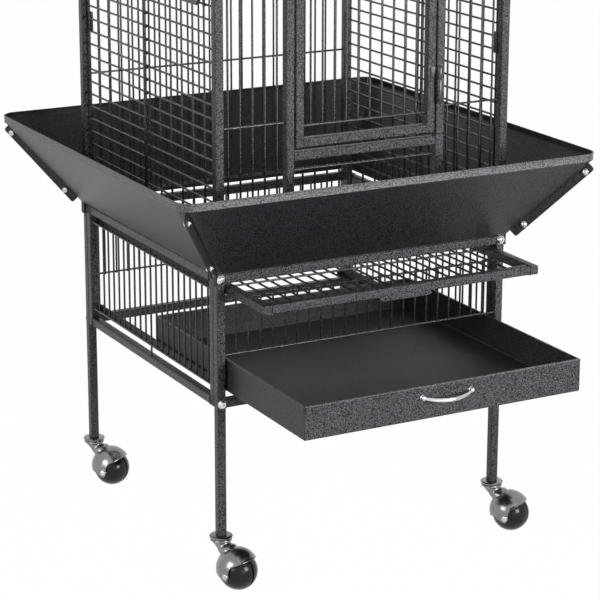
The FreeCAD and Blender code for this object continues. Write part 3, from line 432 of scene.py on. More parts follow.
def skinGroup(name, defaults):
    # inputs take their kinds from the values they start with
    group = bpy.data.node_groups.new(name, "ShaderNodeTree")
    for label, value in defaults.items():
        kind = {3: "Vector", 4: "Color"}[len(value)] if isinstance(value, tuple) else "Float"
        socket = group.interface.new_socket(label, in_out="INPUT", socket_type="NodeSocket" + kind)
        socket.default_value = value
    for label, kind in (("Color", "Color"), ("Roughness", "Float"), ("Normal", "Vector")):
        group.interface.new_socket(label, in_out="OUTPUT", socket_type="NodeSocket" + kind)
    return group, group.nodes.new("NodeGroupInput").outputs, objectPlace(group)


def objectPlace(tree):
    return addNode(tree, "ShaderNodeTexCoord").outputs["Object"]


def nodeBump(tree, strength, depth, height):
    return addNode(tree, "ShaderNodeBump", {"Strength": strength, "Distance": depth, "Height": height})


def makeHammerSkin(defaults):
    # hammered enamel: small pits between paler raised cells, with a broad drift in tone
    group, given, place = skinGroup("hammerSkin", defaults)
    cells = addNode(group, "ShaderNodeTexVoronoi",
                    {"Vector": place, "Scale": given["Cell"], "Smoothness": skinLook["smoothness"],
                     "Randomness": 1.0}, feature="SMOOTH_F1")
    grain = nodeNoise(group, place, nodeMath(group, "MULTIPLY", given["Cell"], skinLook["grain"]), 3.0, 0.6)
    drift = nodeNoise(group, place, skinLook["drift"])
    bumps = nodeMath(group, "SUBTRACT", 1.0, cells)
    mixed = nodeSum(group, nodeMath(group, "MULTIPLY", bumps, skinLook["cellShare"]), grain,
                    skinLook["grainShare"])
    centre = nodeMath(group, "SUBTRACT", 1.0, nodeMath(group, "MULTIPLY", given["Share"], 0.5))
    speck = nodeRamp(group, mixed, nodeMath(group, "SUBTRACT", centre, skinLook["ramp"]),
                     nodeMath(group, "ADD", centre, skinLook["ramp"]))
    value = nodeSum(group, skinLook["driftLow"], drift, skinLook["driftSpan"])
    tone = addNode(group, "ShaderNodeHueSaturation",
                   {"Value": value, "Color": nodeMix(group, speck, given["Dark"], given["Pale"])})
    rough = nodeSum(group, given["Gloss"], grain, skinLook["roughSpan"])
    addNode(group, "NodeGroupOutput", {"Color": tone, "Roughness": rough,
                                       "Normal": nodeBump(group, 1.0, given["Depth"], mixed)})
    return group


def makePolishMarks(defaults):
    # fine wipe marks and a faint waviness on bright metal
    group, given, place = skinGroup("polishMarks", defaults)
    stretched = addNode(group, "ShaderNodeVectorMath", {0: place, 1: given["Stretch"]}, operation="MULTIPLY")
    lines = nodeNoise(group, stretched, markLook["lines"], 4.0, 0.6)
    clouds = nodeNoise(group, place, markLook["clouds"], 3.0, 0.55)
    shares = nodeRamp(group, clouds, markLook["shadeLow"], markLook["shadeHigh"])
    rough = nodeSum(group, given["Gloss"], given["Spread"], nodeMath(group, "ADD", lines, clouds))
    height = nodeSum(group, clouds, lines, markLook["lineShare"])
    addNode(group, "NodeGroupOutput",
            {"Color": nodeMix(group, shares, given["Shade"], given["Tint"]), "Roughness": rough,
             "Normal": nodeBump(group, 1.0, given["Wave"], height)})
    return group


def newMaterial(name):
    material = bpy.data.materials.new(name)
    material.use_nodes = True
    return material, material.node_tree, material.node_tree.nodes["Principled BSDF"]


def finishFrom(name, group, values, **fixed):
    material, tree, shader = newMaterial(name)
    skin = addNode(tree, "ShaderNodeGroup", values, node_tree=group).outputs
    setInputs(tree, shader, {"Base Color": skin["Color"], "Roughness": skin["Roughness"],
                             "Normal": skin["Normal"], **fixed})
    return material


def makeDowelWood():
    material, tree, shader = newMaterial("dowelWood")
    drawn = addNode(tree, "ShaderNodeVectorMath", {0: objectPlace(tree), 1: woodLook["along"]},
                    operation="MULTIPLY")
    figure = nodeNoise(tree, drawn, woodLook["figure"], 5.0, 0.6)
    pores = nodeNoise(tree, drawn, woodLook["pores"])
    shares = nodeRamp(tree, figure, woodLook["paleBelow"], woodLook["brownAbove"])
    rough = nodeSum(tree, woodLook["gloss"], pores, woodLook["spread"])
    setInputs(tree, shader, {"Base Color": nodeMix(tree, shares, woodLook["pale"], woodLook["brown"]),
                             "Roughness": rough, "Normal": nodeBump(tree, 0.5, woodLook["depth"], pores)})
    return material


hammerSkin = makeHammerSkin(paintLook["tubeEnamel"])
polishMarks = makePolishMarks(ballLook)
tubeEnamel, paintedHighlightEnamel, sheetEnamel, trayEnamel, wireEnamel, hingeEnamel = [
    finishFrom(name, hammerSkin, values, IOR=1.5 if name in glossyPaints else 1.32)
    for name, values in paintLook.items()]
brightChrome, nickelPlate, spunSteel, zincPlate = [
    finishFrom(name, polishMarks, values, Metallic=1.0) for name, values in metalLook.items()]
ballBlack = finishFrom("ballBlack", polishMarks, ballLook, IOR=1.34)
dowelWood = makeDowelWood()
print("finishes made")


# square tube

innerHalf = halfWidth - tube
sideFront = frontY + tube
sideRear = rearY - tube
jambX = -(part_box("latch_keeper")[0].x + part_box("latch_keeper")[1].x) / 2
doorFit = {"sill": 0.005, "head": 0.003, "jambFoot": 0.004}
crossbarTop = doorBox[0].z - doorFit["sill"]
headerLow = doorBox[1].z + doorFit["head"]


def bar(side, inner, outer, y0, y1, z0, z1):
    # a box given by its left and right ends, mirrored when side is -1
    x0, x1 = sorted((side * inner, side * outer))
    return Vector((x0, y0, z0)), Vector((x1, y1, z1))


def makeStandTubes():
    tubes, rails = [], (standLow, standTop - tube)
    for y in (frontY, rearY - tube):
        tubes += [bar(sx, innerHalf, halfWidth, y, y + tube, legFoot, standTop) for sx in (-1, 1)]
        tubes += [bar(1, -innerHalf, innerHalf, y, y + tube, z, z + tube) for z in rails]
    for sx in (-1, 1):
        for y in (sideFront, sideRear - tube):
            tubes.append(bar(sx, innerHalf, halfWidth, y, y + tube, standLow, standTop))
        for z in rails:
            tubes.append(bar(sx, innerHalf, halfWidth, sideFront + tube, sideRear - tube, z, z + tube))
    return tubes


def makeCageTubes():
    tubes = []
    roofLow = cageTop - tube
    clear = jambX - tube / 2
    for y in (frontY, rearY - tube):
        tubes += [bar(sx, innerHalf, halfWidth, y, y + tube, standTop, cageTop) for sx in (-1, 1)]
        tubes.append(bar(1, -innerHalf, innerHalf, y, y + tube, roofLow, cageTop))
    for sx in (-1, 1):
        tubes.append(bar(sx, clear, jambX + tube / 2, frontY, frontY + tube,
                         standTop + doorFit["jambFoot"], roofLow))
        tubes.append(bar(sx, innerHalf, halfWidth, sideFront, sideRear, roofLow, cageTop))
    tubes += [bar(1, -clear, clear, frontY, frontY + tube, z, z + tube)
              for z in (crossbarTop - tube, headerLow)]
    return tubes


def makeLoopTubes(low, high, flatAxis):
    # four tubes round a rectangle: two whole sides first, then what fits between them
    tubes = []
    a, b = [i for i in range(3) if i != flatAxis]
    for axis, inset in ((a, 0), (b, tube)):
        for near in (low[axis], high[axis] - tube):
            start, end = low.copy(), high.copy()
            start[a], end[a] = low[a] + inset, high[a] - inset
            start[axis], end[axis] = near, near + tube
            tubes.append((start, end))
    return tubes


def tubeShape(low, high):
    size, middle = high - low, (low + high) / 2
    along = longest(low, high)
    a, b = (along + 1) % 3, (along + 2) % 3
    flat = Vector((middle[a], middle[b], 0))
    chamfer = tubeLook["endChamfer"]
    rings = []
    for place, inset in ((low[along], chamfer), (low[along] + chamfer, 0),
                         (high[along] - chamfer, 0), (high[along], chamfer)):
        ring = roundedRect(size[a] / 2 - inset, size[b] / 2 - inset, tubeLook["corner"] - inset,
                           tubeLook["cornerSteps"], flat, place)
        rings.append([Vector([p[(i - a) % 3] for i in range(3)]) for p in ring])
    return stackRings(rings)


def beadsAtEnds(tubes):
    # a bead where a tube's end stands against the side of another
    points, facing = [], []
    touch = weldLook["touch"]
    for i, (low, high) in enumerate(tubes):
        along = longest(low, high)
        for end in (low[along], high[along]):
            middle = (low + high) / 2
            middle[along] = end
            for j, (otherLow, otherHigh) in enumerate(tubes):
                touches = all(otherLow[k] - touch < middle[k] < otherHigh[k] + touch for k in range(3))
                if i != j and touches and longest(otherLow, otherHigh) != along:
                    points.append(middle)
                    facing.append([float(k == along) for k in range(3)])
                    break
    values = {"Width": tube + weldLook["bead"] * weldLook["proud"], "Bead": weldLook["bead"],
              "Ripple": weldLook["ripple"], "Pitch": weldLook["pitch"], "Finish": tubeEnamel}
    return runTree(weldBeads, points, values, facing=facing)


def tubePiece(name, tubes, body, *replaced):
    parts = [tubeShape(low, high) for low, high in tubes] + [beadsAtEnds(tubes)]
    levelFaces(addPiece(name, parts, tubeLook["sharp"], tubeEnamel, "hammertone", body, *replaced))


standTubes = makeStandTubes()
cageTubes = makeCageTubes()
doorTubes = makeLoopTubes(*doorBox, 1)
grilleTubes = makeLoopTubes(*grilleBox, 2)
tubePiece("standTubes", standTubes, "stand_and_cage",
          "stand_front_frame", "stand_rear_frame", "stand_left_frame", "stand_right_frame")
tubePiece("cageTubes", cageTubes, "stand_and_cage", "cage_front_frame", "cage_rear_frame", "roof_rails")
tubePiece("doorTubes", doorTubes, "front_door", "door_frame")
tubePiece("grilleTubes", grilleTubes, "grille", "grille_frame")
print("square tube done:", len(standTubes) + len(cageTubes) + len(doorTubes) + len(grilleTubes))


# wires

wireLook = {"sides": 10, "nugget": 1.28, "reach": 0.00012, "sharp": 60}


def rodLine(low, high):
    # the ends and the radius of a rod that lies along an axis
    size, along = high - low, longest(low, high)
    start = (low + high) / 2
    end = start.copy()
    start[along], end[along] = low[along], high[along]
    return start, end, (sum(size) - size[along]) / 4


def meetingPoints(boxes, tubes):
    # where rods cross each other or end at a tube
    everyLow = np.array([tuple(b[0]) for b in boxes + tubes]) - wireLook["reach"]
    everyHigh = np.array([tuple(b[1]) for b in boxes + tubes]) + wireLook["reach"]
    points, sizes = [], []
    for i, (low, high) in enumerate(boxes):
        lows = np.maximum(everyLow, np.array(low))
        highs = np.minimum(everyHigh, np.array(high))
        hit = (lows < highs).all(axis=1)
        hit[:i + 1] = False
        for k in np.flatnonzero(hit):
            points.append((lows[k] + highs[k]) / 2)
            sizes.append(rodLine(low, high)[2] * wireLook["nugget"])
    return points, sizes


def nuggetMesh():
    bm = bmesh.new()
    bmesh.ops.create_icosphere(bm, subdivisions=1, radius=1.0)
    mesh = bpy.data.meshes.new("nugget")
    bm.to_mesh(mesh)
    bm.free()
    return mesh


nugget = placeObject("nugget", nuggetMesh())


def weldedRods(boxes, tubes):
    points, edges, thickness = [], [], []
    for low, high in boxes:
        start, end, radius = rodLine(low, high)
        edges.append((len(points), len(points) + 1))
        points += [start, end]
        thickness += [radius, radius]
    values = {"Bend": 0.0, "Sides": wireLook["sides"], "Finish": wireEnamel}
    welds, sizes = meetingPoints(boxes, tubes)
    return [runTree(rods, points, values, edges, thickness=thickness),
            runTree(setInPlace, welds, {"Shape": nugget, "Finish": wireEnamel},
                    facing=[(0.0, 0.0, 1.0)] * len(welds), size=sizes)]


def wirePiece(name, parts, body, *replaced):
    addPiece(name, parts, wireLook["sharp"], wireEnamel, "wire_paint", body, *replaced)


for name, body, tubes, replaced in (
        ("standWires", "stand_and_cage", standTubes, ("side_frame_wires", "front_guard", "rear_guard")),
        ("endWires", "stand_and_cage", cageTubes, ("front_wires", "rear_wires")),
        ("leftPanelWires", "stand_and_cage", [], ("left_panel",)),
        ("rightPanelWires", "stand_and_cage", [], ("right_panel",)),
        ("roofWires", "stand_and_cage", cageTubes, ("roof_wires",)),
        ("doorWires", "front_door", doorTubes, ("door_wires",)),
        ("grilleWires", "grille", grilleTubes, ("grille_wires",))):
    wirePiece(name, weldedRods(looseBoxes(*replaced), tubes), body, *replaced)
print("wires done")


# rods bent to shape: feeder doors, cup rings and the play stand's hoops

def bentRod(points, radii, bend=0.0, closed=False, sides=12, finish=wireEnamel):
    edges = [(i, i + 1) for i in range(len(points) - 1)]
    if closed:
        edges.append((len(points) - 1, 0))
    thickness = [radii] * len(points) if isinstance(radii, float) else radii
    return runTree(rods, points, {"Bend": bend, "Sides": sides, "Finish": finish}, edges, thickness=thickness)


feederLook = {"rod": 0.0025, "bend": 0.01, "knuckle": 0.004, "bore": 0.00208, "height": 0.01, "edge": 0.0004,
              "around": 20, "strap": 0.002, "strapReach": 0.0024, "strapCorner": 0.0005, "sharp": 50}
jointPlaces = {joint["name"]: Vector(joint["pos_m"]) for joint in frame["joints"] if "pos_m" in joint}


def makeFeederDoor(side):
    boxes = looseBoxes("feeder_door_" + side)
    loop = max(boxes, key=lambda b: b[1].z - b[0].z)
    wires = sorted([b for b in boxes if b is not loop], key=lambda b: b[0].z)
    rod = feederLook["rod"]
    x = (wires[0][0].x + wires[0][1].x) / 2
    y0, y1 = wires[0][0].y - rod, wires[0][1].y + rod
    z0, z1 = loop[0].z + rod, loop[1].z - rod
    corners = [Vector((x, y, z)) for y, z in ((y0, z0), (y1, z0), (y1, z1), (y0, z1))]
    rim = [(Vector((x - rod, y - rod, z0)), Vector((x + rod, y + rod, z1))) for y in (y0, y1)]
    parts = [bentRod(corners, rod, feederLook["bend"], closed=True)] + weldedRods(wires, rim)
    hinge = jointPlaces["feeder_" + side + "_hinge"]
    pitch = wires[1][0].z - wires[0][0].z
    outer, inner, soft = feederLook["knuckle"], feederLook["bore"], feederLook["edge"]
    half, strap = feederLook["height"] / 2, feederLook["strap"] / 2
    for wire, up in ((wires[0], pitch), (wires[-1], -pitch)):
        z = (wire[0].z + wire[1].z + up) / 2        # a knuckle between the end wire and the next
        outline = [(inner, -half), (outer - soft, -half), (outer, soft - half), (outer, half - soft),
                   (outer - soft, half), (inner, half), (inner, -half)]
        sleeve = [circlePoints(Vector((hinge.x, hinge.y, z + height)), radius, feederLook["around"])
                  for radius, height in outline]
        low = Vector((x - strap, hinge.y + feederLook["strapReach"], z - half + soft))
        high = Vector((x + strap, y0, z + half - soft))
        parts += [stackRings(sleeve, False, False), softBar(low, high, feederLook["strapCorner"])]
    addPiece("feederDoor" + side.capitalize(), parts, feederLook["sharp"], wireEnamel, "wire_paint",
             "feeder_" + side, "feeder_door_" + side)


for side in ("left", "right"):
    makeFeederDoor(side)

cupLook = {"base": 0.036, "top": 0.046, "sheet": 0.0008, "foot": 0.006, "belly": 0.7, "bead": 0.0009,
           "beadOut": 0.0051, "steps": 56, "ringSteps": 48, "sharp": 50,
           # out from the top's radius and down from the rim: under the bead, then inside it
           "throat": [(-0.0004, 0.0034), (0.0006, 0.0018), (0.0036, 0.0014)],
           "mouth": [(0.0005, 0.0002), (-0.0008, 0.0016)]}


def makeCupHolders():
    parts = []
    for low, high in looseBoxes("cup_holders"):
        size = high - low
        if min(size.x, size.y) > 3 * size.z:        # a ring; the others are straight
            ring = circlePoints((low + high) / 2, (size.x - size.z) / 2, cupLook["ringSteps"])
            parts.append(bentRod(ring, size.z / 2, closed=True))
        else:
            start, end, radius = rodLine(low, high)
            parts.append(bentRod([start, end], radius))
    wirePiece("cupRings", parts, "stand_and_cage", "cup_holders")


def makeCups():
    parts = []
    base, top, foot, sheet, bead = [cupLook[key] for key in ("base", "top", "foot", "sheet", "bead")]
    belly = base + (top - base) * cupLook["belly"]
    for low, high in looseBoxes("feed_cups"):
        tall = high.z - low.z
        profile = [(0.0, 0.0), (base - foot, 0.0), (base - foot * 0.3, foot * 0.3), (base + sheet / 2, foot),
                   (belly, tall * cupLook["belly"])]
        profile += [(top + out, tall - down) for out, down in cupLook["throat"]]
        for degrees in range(-90, 91, 30):
            angle = radians(degrees)
            profile.append((top + cupLook["beadOut"] + bead * cos(angle),
                            tall - bead + bead * sin(angle)))
        profile += [(top + out, tall - down) for out, down in cupLook["mouth"]]
        profile += [(belly - sheet, tall * cupLook["belly"]), (base - sheet, foot + sheet),
                    (base - foot * 0.4 - sheet, foot * 0.45 + sheet), (base - foot * 1.2, sheet),
                    (0.0, sheet)]
        middle = Vector(((low.x + high.x) / 2, (low.y + high.y) / 2, low.z))
        parts.append(spun(profile, middle, upward, cupLook["steps"]))
    addPiece("feedCups", parts, cupLook["sharp"], spunSteel, "stainless", "stand_and_cage", "feed_cups")


hoopLook = {"bend": 0.025, "sides": 16}


def makeHoops():
    parts = []
    for low, high in looseBoxes("play_stand_hoops"):
        radius, x = (high.x - low.x) / 2, (low.x + high.x) / 2
        y0, y1, z1 = low.y + radius, high.y - radius, high.z - radius
        corners = [Vector((x, y, z)) for y, z in ((y0, low.z), (y0, z1), (y1, z1), (y1, low.z))]
        parts.append(bentRod(corners, radius, hoopLook["bend"], sides=hoopLook["sides"]))
    wirePiece("playHoops", parts, "stand_and_cage", "play_stand_hoops")


dowelLook = {"steps": 28, "chamfer": 0.0012, "wave": 0.006, "wavePhase": 2.1, "stretches": 8, "sharp": 50}


def makeDowels(name, node):
    parts = []
    soft, count = dowelLook["chamfer"], dowelLook["stretches"]
    for low, high in looseBoxes(node):
        radius, length = (high.z - low.z) / 2, high.x - low.x
        end = [(0.0, 0.0), (radius - soft, 0.0), (radius - soft * 0.3, soft * 0.3), (radius, soft)]
        profile = end + [(radius * (1 - dowelLook["wave"] * sin(k * dowelLook["wavePhase"])),
                          length * k / count) for k in range(1, count)]
        profile += [(out, length - back) for out, back in reversed(end)]
        start = Vector((low.x, (low.y + high.y) / 2, (low.z + high.z) / 2))
        parts.append(spun(profile, start, (1, 0, 0), dowelLook["steps"]))
    addPiece(name, parts, dowelLook["sharp"], dowelWood, "perch_wood", "stand_and_cage", node)


makeCupHolders()
makeCups()
makeHoops()
makeDowels("insidePerches", "inside_perches")
makeDowels("playPerch", "play_stand_perch")
print("rods, cups and perches done")


# seed skirt

skirtLook = {"lift": 0.003, "gap": 0.003, "lip": 0.0115, "lipStep": 0.0015, "sheet": 0.001, "bead": 0.0024,
             "beadFrom": -50, "beadStep": 35, "beadSteps": 9, "soft": 0.0008, "hair": 0.0001,
             "footRun": 0.004,
             "cornerTop": 0.022, "cornerLow": 0.003, "cornerSteps": 6, "seam": 0.00025,
             "flange": 0.012, "flangeCut": 0.003, "flangeStart": 0.05, "flangeEnd": 0.97,
             "boltLow": 0.17, "boltHigh": 0.89, "tabThick": 0.0035, "tabWidth": 0.011, "tabDrop": 0.014,
             "sharp": 38}
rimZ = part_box("skirt_front")[1].z
skirtLowZ = standTop + skirtLook["lift"]
bendZ = rimZ - skirtLook["lip"]
lowHalf = halfWidth + skirtLook["gap"]
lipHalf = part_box("skirt_right")[1].x - skirtLook["bead"] / 2 + skirtLook["sheet"] / 2
bendHalf = lipHalf - skirtLook["lipStep"]
flare = math.atan2(bendHalf - lowHalf, bendZ - skirtLowZ)
flatSheet = skirtLook["sheet"] / cos(flare)
fourCorners = [(sx, sy) for sx in (-1, 1) for sy in (-1, 1)]


def flareShare(z):
    return min(max((z - skirtLowZ) / (bendZ - skirtLowZ), 0.0), 1.0)


def flareHalf(z):
    return lowHalf + flareShare(z) * (bendHalf - lowHalf)


def flareRadius(z):
    return skirtLook["cornerLow"] + flareShare(z) * (skirtLook["cornerTop"] - skirtLook["cornerLow"])


def skirtProfile():
    # (half width, height) up the outside, over the rolled edge and down the inside
    sheet, bead, soft, hair = skirtLook["sheet"], skirtLook["bead"] / 2, skirtLook["soft"], skirtLook["hair"]
    lean, rise, run = sin(flare), cos(flare), skirtLook["footRun"]
    points = [(lowHalf - flatSheet / 2, skirtLowZ - 4 * hair), (lowHalf + hair, skirtLowZ + hair),
              (lowHalf + run * lean, skirtLowZ + run * rise),
              (bendHalf - 2 * soft * lean, bendZ - 2 * soft * rise), (bendHalf, bendZ - soft * 0.2),
              (bendHalf + skirtLook["lipStep"] * 0.6, bendZ + soft * 0.3), (lipHalf, bendZ + soft),
              (lipHalf, bendZ + 3 * soft), (lipHalf, rimZ - 2 * bead - soft)]
    for k in range(skirtLook["beadSteps"]):
        angle = radians(skirtLook["beadFrom"] + skirtLook["beadStep"] * k)
        points.append((lipHalf - sheet / 2 + bead * cos(angle), rimZ - bead + bead * sin(angle)))
    points += [(lipHalf - sheet, rimZ - 2 * bead - soft), (lipHalf - sheet, bendZ + 4 * soft),
               (lipHalf - sheet, bendZ + 2 * soft + sheet / 2),
               (bendHalf - flatSheet * 0.3, bendZ + sheet * 0.9), (bendHalf - flatSheet, bendZ + sheet * 0.2),
               (bendHalf - flatSheet - 3 * soft * lean, bendZ - 3 * soft * rise),
               (lowHalf - flatSheet, skirtLowZ + hair)]
    return points


def mitreToMitre(half, z):
    # one panel's line at a height: half a corner, the straight, half a corner
    radius = max(flareRadius(z) + half - flareHalf(z), skirtLook["soft"])
    steps = skirtLook["cornerSteps"]
    line = []
    for i in range(steps + 1):
        angle = radians(45 * (1 - i / steps))
        line.append((-(half - radius) - radius * sin(angle), half - radius + radius * cos(angle)))
    line[0] = (line[0][0] + skirtLook["seam"], line[0][1])
    straight = [(u * (half - radius), half) for u in (-0.5, 0.0, 0.5)]
    return line + straight + [(-u, v) for u, v in reversed(line)]


def alongMitre(sx, sy, share, inset=0.0):
    # on a corner's line, from its foot (0) to the bend below the lip (1)
    z = skirtLowZ + share * (bendZ - skirtLowZ)
    corner = flareHalf(z) - inset - (flareRadius(z) - inset) * (1 - math.sqrt(0.5))
    return Vector((sx * corner, cageY + sy * corner, z))


def flangeWay(sx, sy):
    # square to the mitre line, outwards and down
    along = (alongMitre(sx, sy, 1) - alongMitre(sx, sy, 0)).normalized()
    out = Vector((sx, sy, 0)).normalized()
    return (out - along * out.dot(along)).normalized()


def flangePlate(sx, sy, outward):
    away, cut = flangeWay(sx, sy), skirtLook["flangeCut"]
    start, end = [alongMitre(sx, sy, skirtLook[key], flatSheet) for key in ("flangeStart", "flangeEnd")]
    run = (end - start).normalized()
    width = skirtLook["flange"] + skirtLook["sheet"]
    diagonal = Vector((sx, sy, 0)).normalized()
    normal = (outward - diagonal * outward.dot(diagonal)).normalized()
    outline = [start, end, end + away * (width - cut), end - run * cut * 0.3 + away * (width - cut * 0.3),
               end - run * cut + away * width, start + run * cut + away * width,
               start + run * cut * 0.3 + away * (width - cut * 0.3), start + away * (width - cut)]
    if (outline[1] - outline[0]).cross(outline[2] - outline[1]).dot(normal) < 0:
        outline.reverse()
    return stackRings([[p + normal * off for p in outline]
                       for off in (skirtLook["seam"], skirtLook["sheet"] + skirtLook["seam"])])


def hookTab(sx, sy):
    y, half, thick = cageY + sy * postY, skirtLook["tabWidth"] / 2, skirtLook["tabThick"]
    low, high = bar(sx, halfWidth + skirtLook["hair"], halfWidth + thick, y - half, y + half,
                    standTop - skirtLook["tabDrop"], skirtLowZ + thick)
    return softBar(low, high, skirtLook["soft"])


def skirtPanel(name, outward, node):
    along, centre = upward.cross(outward), Vector((0, cageY, 0))
    rows = [[centre + outward * v + along * u + Vector((0, 0, z)) for u, v in mitreToMitre(half, z)]
            for half, z in skirtProfile()]
    count, across = len(rows), len(rows[0])
    faces = []
    for k in range(count):
        here, up = k * across, (k + 1) % count * across
        faces += [(here + j, here + j + 1, up + j + 1, up + j) for j in range(across - 1)]
    faces.append(tuple(k * across for k in range(count)))
    faces.append(tuple(k * across + across - 1 for k in reversed(range(count))))
    parts = [([p for row in rows for p in row], faces)]
    for sx, sy in fourCorners:
        if sx == outward.x or sy == outward.y:
            parts.append(flangePlate(sx, sy, outward))
            if outward.x:
                parts.append(hookTab(sx, sy))
    panel = addPiece(name, parts, skirtLook["sharp"], sheetEnamel, "hammertone", "stand_and_cage", node)
    levelFaces(panel)
    # the lip's outer and upper faces take the paler enamel: a painted highlight along the rolled edge
    panel.data.materials.append(paintedHighlightEnamel)
    for face in panel.data.polygons:
        if face.center.z > bendZ and abs(face.normal.z) < 0.98 and face.normal.dot(outward) > -0.5:
            face.material_index = 1


for side, outward in (("front", (0, -1, 0)), ("rear", (0, 1, 0)), ("left", (-1, 0, 0)), ("right", (1, 0, 0))):
    skirtPanel("skirt" + side.capitalize(), Vector(outward), "skirt_" + side)


# bolts

boltLook = {"standHead": 1.25, "flangeHead": 1.0, "headSteps": 16, "sharp": 40,
            # a round head with a hollow in its crown, on a thin washer
            "head": [(0.0, 0.0), (0.0052, 0.0), (0.0052, 0.0005), (0.0048, 0.0007), (0.0046, 0.0008),
                     (0.0045, 0.0014), (0.004, 0.0022), (0.0031, 0.0028), (0.0022, 0.003), (0.0017, 0.003),
                     (0.0015, 0.0026), (0.0013, 0.0014), (0.0, 0.0012)],
            # a nut's hexagons, then the thread's end that stands out of it
            "nut": [(0.00414, 0.0), (0.0046, 0.0004), (0.0046, 0.0031), (0.00414, 0.0035), (0.0024, 0.0035),
                    (0.0024, 0.004)]}


def setShapes(shape, places, size):
    # places: pairs of a point and the way it faces
    points, facing = zip(*places)
    return runTree(setInPlace, points, {"Shape": shape, "Finish": brightChrome}, facing=facing,
                   size=[size] * len(points))


def makeBolts():
    crown = spun(boltLook["head"], Vector((0, 0, 0)), upward, boltLook["headSteps"])
    hexagons = [circlePoints(Vector((0, 0, z)), radius, 6) for radius, z in boltLook["nut"]]
    head, nut = [placeObject(name, newMesh(name, *shape))
                 for name, shape in (("boltHead", crown), ("nut", stackRings(hexagons)))]
    stand, heads, nuts = [], [], []
    for low, high in looseBoxes("stand_bolts"):
        y, way = (frontY, -1.0) if low.y < cageY else (rearY, 1.0)
        stand.append((Vector(((low.x + high.x) / 2, y, (low.z + high.z) / 2)), (0.0, way, 0.0)))
    for sx, sy in fourCorners:
        axis = Vector((-sy, sx, 0)).normalized()
        axis = axis if axis.y * sy < 0 else -axis
        off = axis * (skirtLook["sheet"] + skirtLook["seam"])
        for share in (skirtLook["boltLow"], skirtLook["boltHigh"]):
            middle = alongMitre(sx, sy, share) + flangeWay(sx, sy) * skirtLook["flange"] / 2
            heads.append((middle - off, -axis))
            nuts.append((middle + off, axis))
    for name, parts, node in (
            ("standBolts", [setShapes(head, stand, boltLook["standHead"])], "stand_bolts"),
            ("skirtBolts", [setShapes(head, heads, boltLook["flangeHead"]), setShapes(nut, nuts, 1.0)],
             "skirt_bolts")):
        addPiece(name, parts, boltLook["sharp"], brightChrome, "chrome", "stand_and_cage", node)
    for shape in (head, nut):
        bpy.data.objects.remove(shape)


makeBolts()
bpy.data.objects.remove(nugget)
print("skirt and bolts done")


# debris tray, its handle and the grille's pull

trayLook = {"sheet": 0.001, "hem": 0.003, "band": 0.0072, "bandTop": 0.0007, "bandProud": 0.0006,
            "bandSoft": 0.00048, "rim": 0.0013, "corner": 0.0012, "leastCorner": 0.0004, "bend": 0.0016,
            "notch": 0.0016, "sag": 0.00042, "sagShares": (0.97, 0.85, 0.6, 0.3), "sharp": 50,
            # in from the wall and down from the top edge, over the hem
            "fold": [(0.0, 0.0009), (0.0003, 0.0003), (0.0009, 0.0), (0.0023, 0.0), (0.0029, 0.0003),
                     (0.003, 0.0007), (0.0027, 0.001), (0.0015, 0.0011), (0.001, 0.0016)]}


def bandStrips(low, high):
    # the flattened fold below the top edge, one strip for each wall, open at the corners
    proud, soft = trayLook["bandProud"], trayLook["bandSoft"]
    z0, z1 = high.z - trayLook["band"], high.z - trayLook["bandTop"]
    outline = [(0.0, z0), (proud - soft, z0), (proud, z0 + soft), (proud, z1 - soft), (proud - soft, z1),
               (0.0, z1)]
    corners = [Vector((x, y, 0)) for x, y in
               ((low.x, low.y), (high.x, low.y), (high.x, high.y), (low.x, high.y), (low.x, low.y))]
    strips = []
    for start, end in zip(corners, corners[1:]):
        run = (end - start).normalized()
        way, notch = run.cross(upward), run * trayLook["notch"]
        strips.append(stackRings([[p + way * out + Vector((0, 0, z)) for out, z in outline]
                                  for p in (end - notch, start + notch)]))
    return strips


def makeTray():
    low, high = trayBox
    middle, half = (low + high) / 2, (high - low) / 2
    sheet, bend, least = trayLook["sheet"], trayLook["bend"], trayLook["leastCorner"]
    steps = [(bend, low.z), (bend * 0.3, low.z + bend * 0.3), (0.0, low.z + bend)]
    steps += [(inset, high.z - down) for inset, down in trayLook["fold"]]
    steps += [(sheet, low.z + sheet + bend), (sheet + bend * 0.3, low.z + sheet + bend * 0.3),
              (sheet + bend, low.z + sheet)]
    rings = [roundedRect(half.x - inset, half.y - inset, max(trayLook["corner"] - inset, least), 2, middle, z)
             for inset, z in steps]
    for share in trayLook["sagShares"]:
        rings.append(roundedRect((half.x - sheet - bend) * share, (half.y - sheet - bend) * share, least, 2,
                                 middle, low.z + sheet - trayLook["sag"] * cos(share * pi / 2)))
    tray = addPiece("debrisTray", [stackRings(rings)] + bandStrips(low, high), trayLook["sharp"], trayEnamel,
                    "hammertone", "tray", "debris_tray")
    levelFaces(tray)
    # slot 1: the top edge takes the paler enamel, a painted highlight along the hem
    tray.data.materials.append(paintedHighlightEnamel)
    # slot 2: the front wall takes the paler tube enamel, painted light that makes it lighter than the other
    # walls
    tray.data.materials.append(tubeEnamel)
    for face in tray.data.polygons:
        if face.center.z > high.z - trayLook["rim"]:
            face.material_index = 1
        elif face.normal.y < -0.5 and face.center.y < low.y + sheet / 2:
            face.material_index = 2


handleLook = {"ends": 0.0021, "middle": 0.003, "foot": 0.0045, "footLength": 0.003, "sunk": 0.0028,
              "seat": 0.00006, "points": 25, "sides": 16, "ease": 1.5, "steps": 24, "sharp": 45,
              # a foot's (radius, height) pairs
              "profile": [(0.0, 0.0), (0.0045, 0.0), (0.0045, 0.00105), (0.004185, 0.00165),
                          (0.0036, 0.00225), (0.003528, 0.00345), (0.00288, 0.00525), (0.00162, 0.00624),
                          (0.0, 0.00645)]}


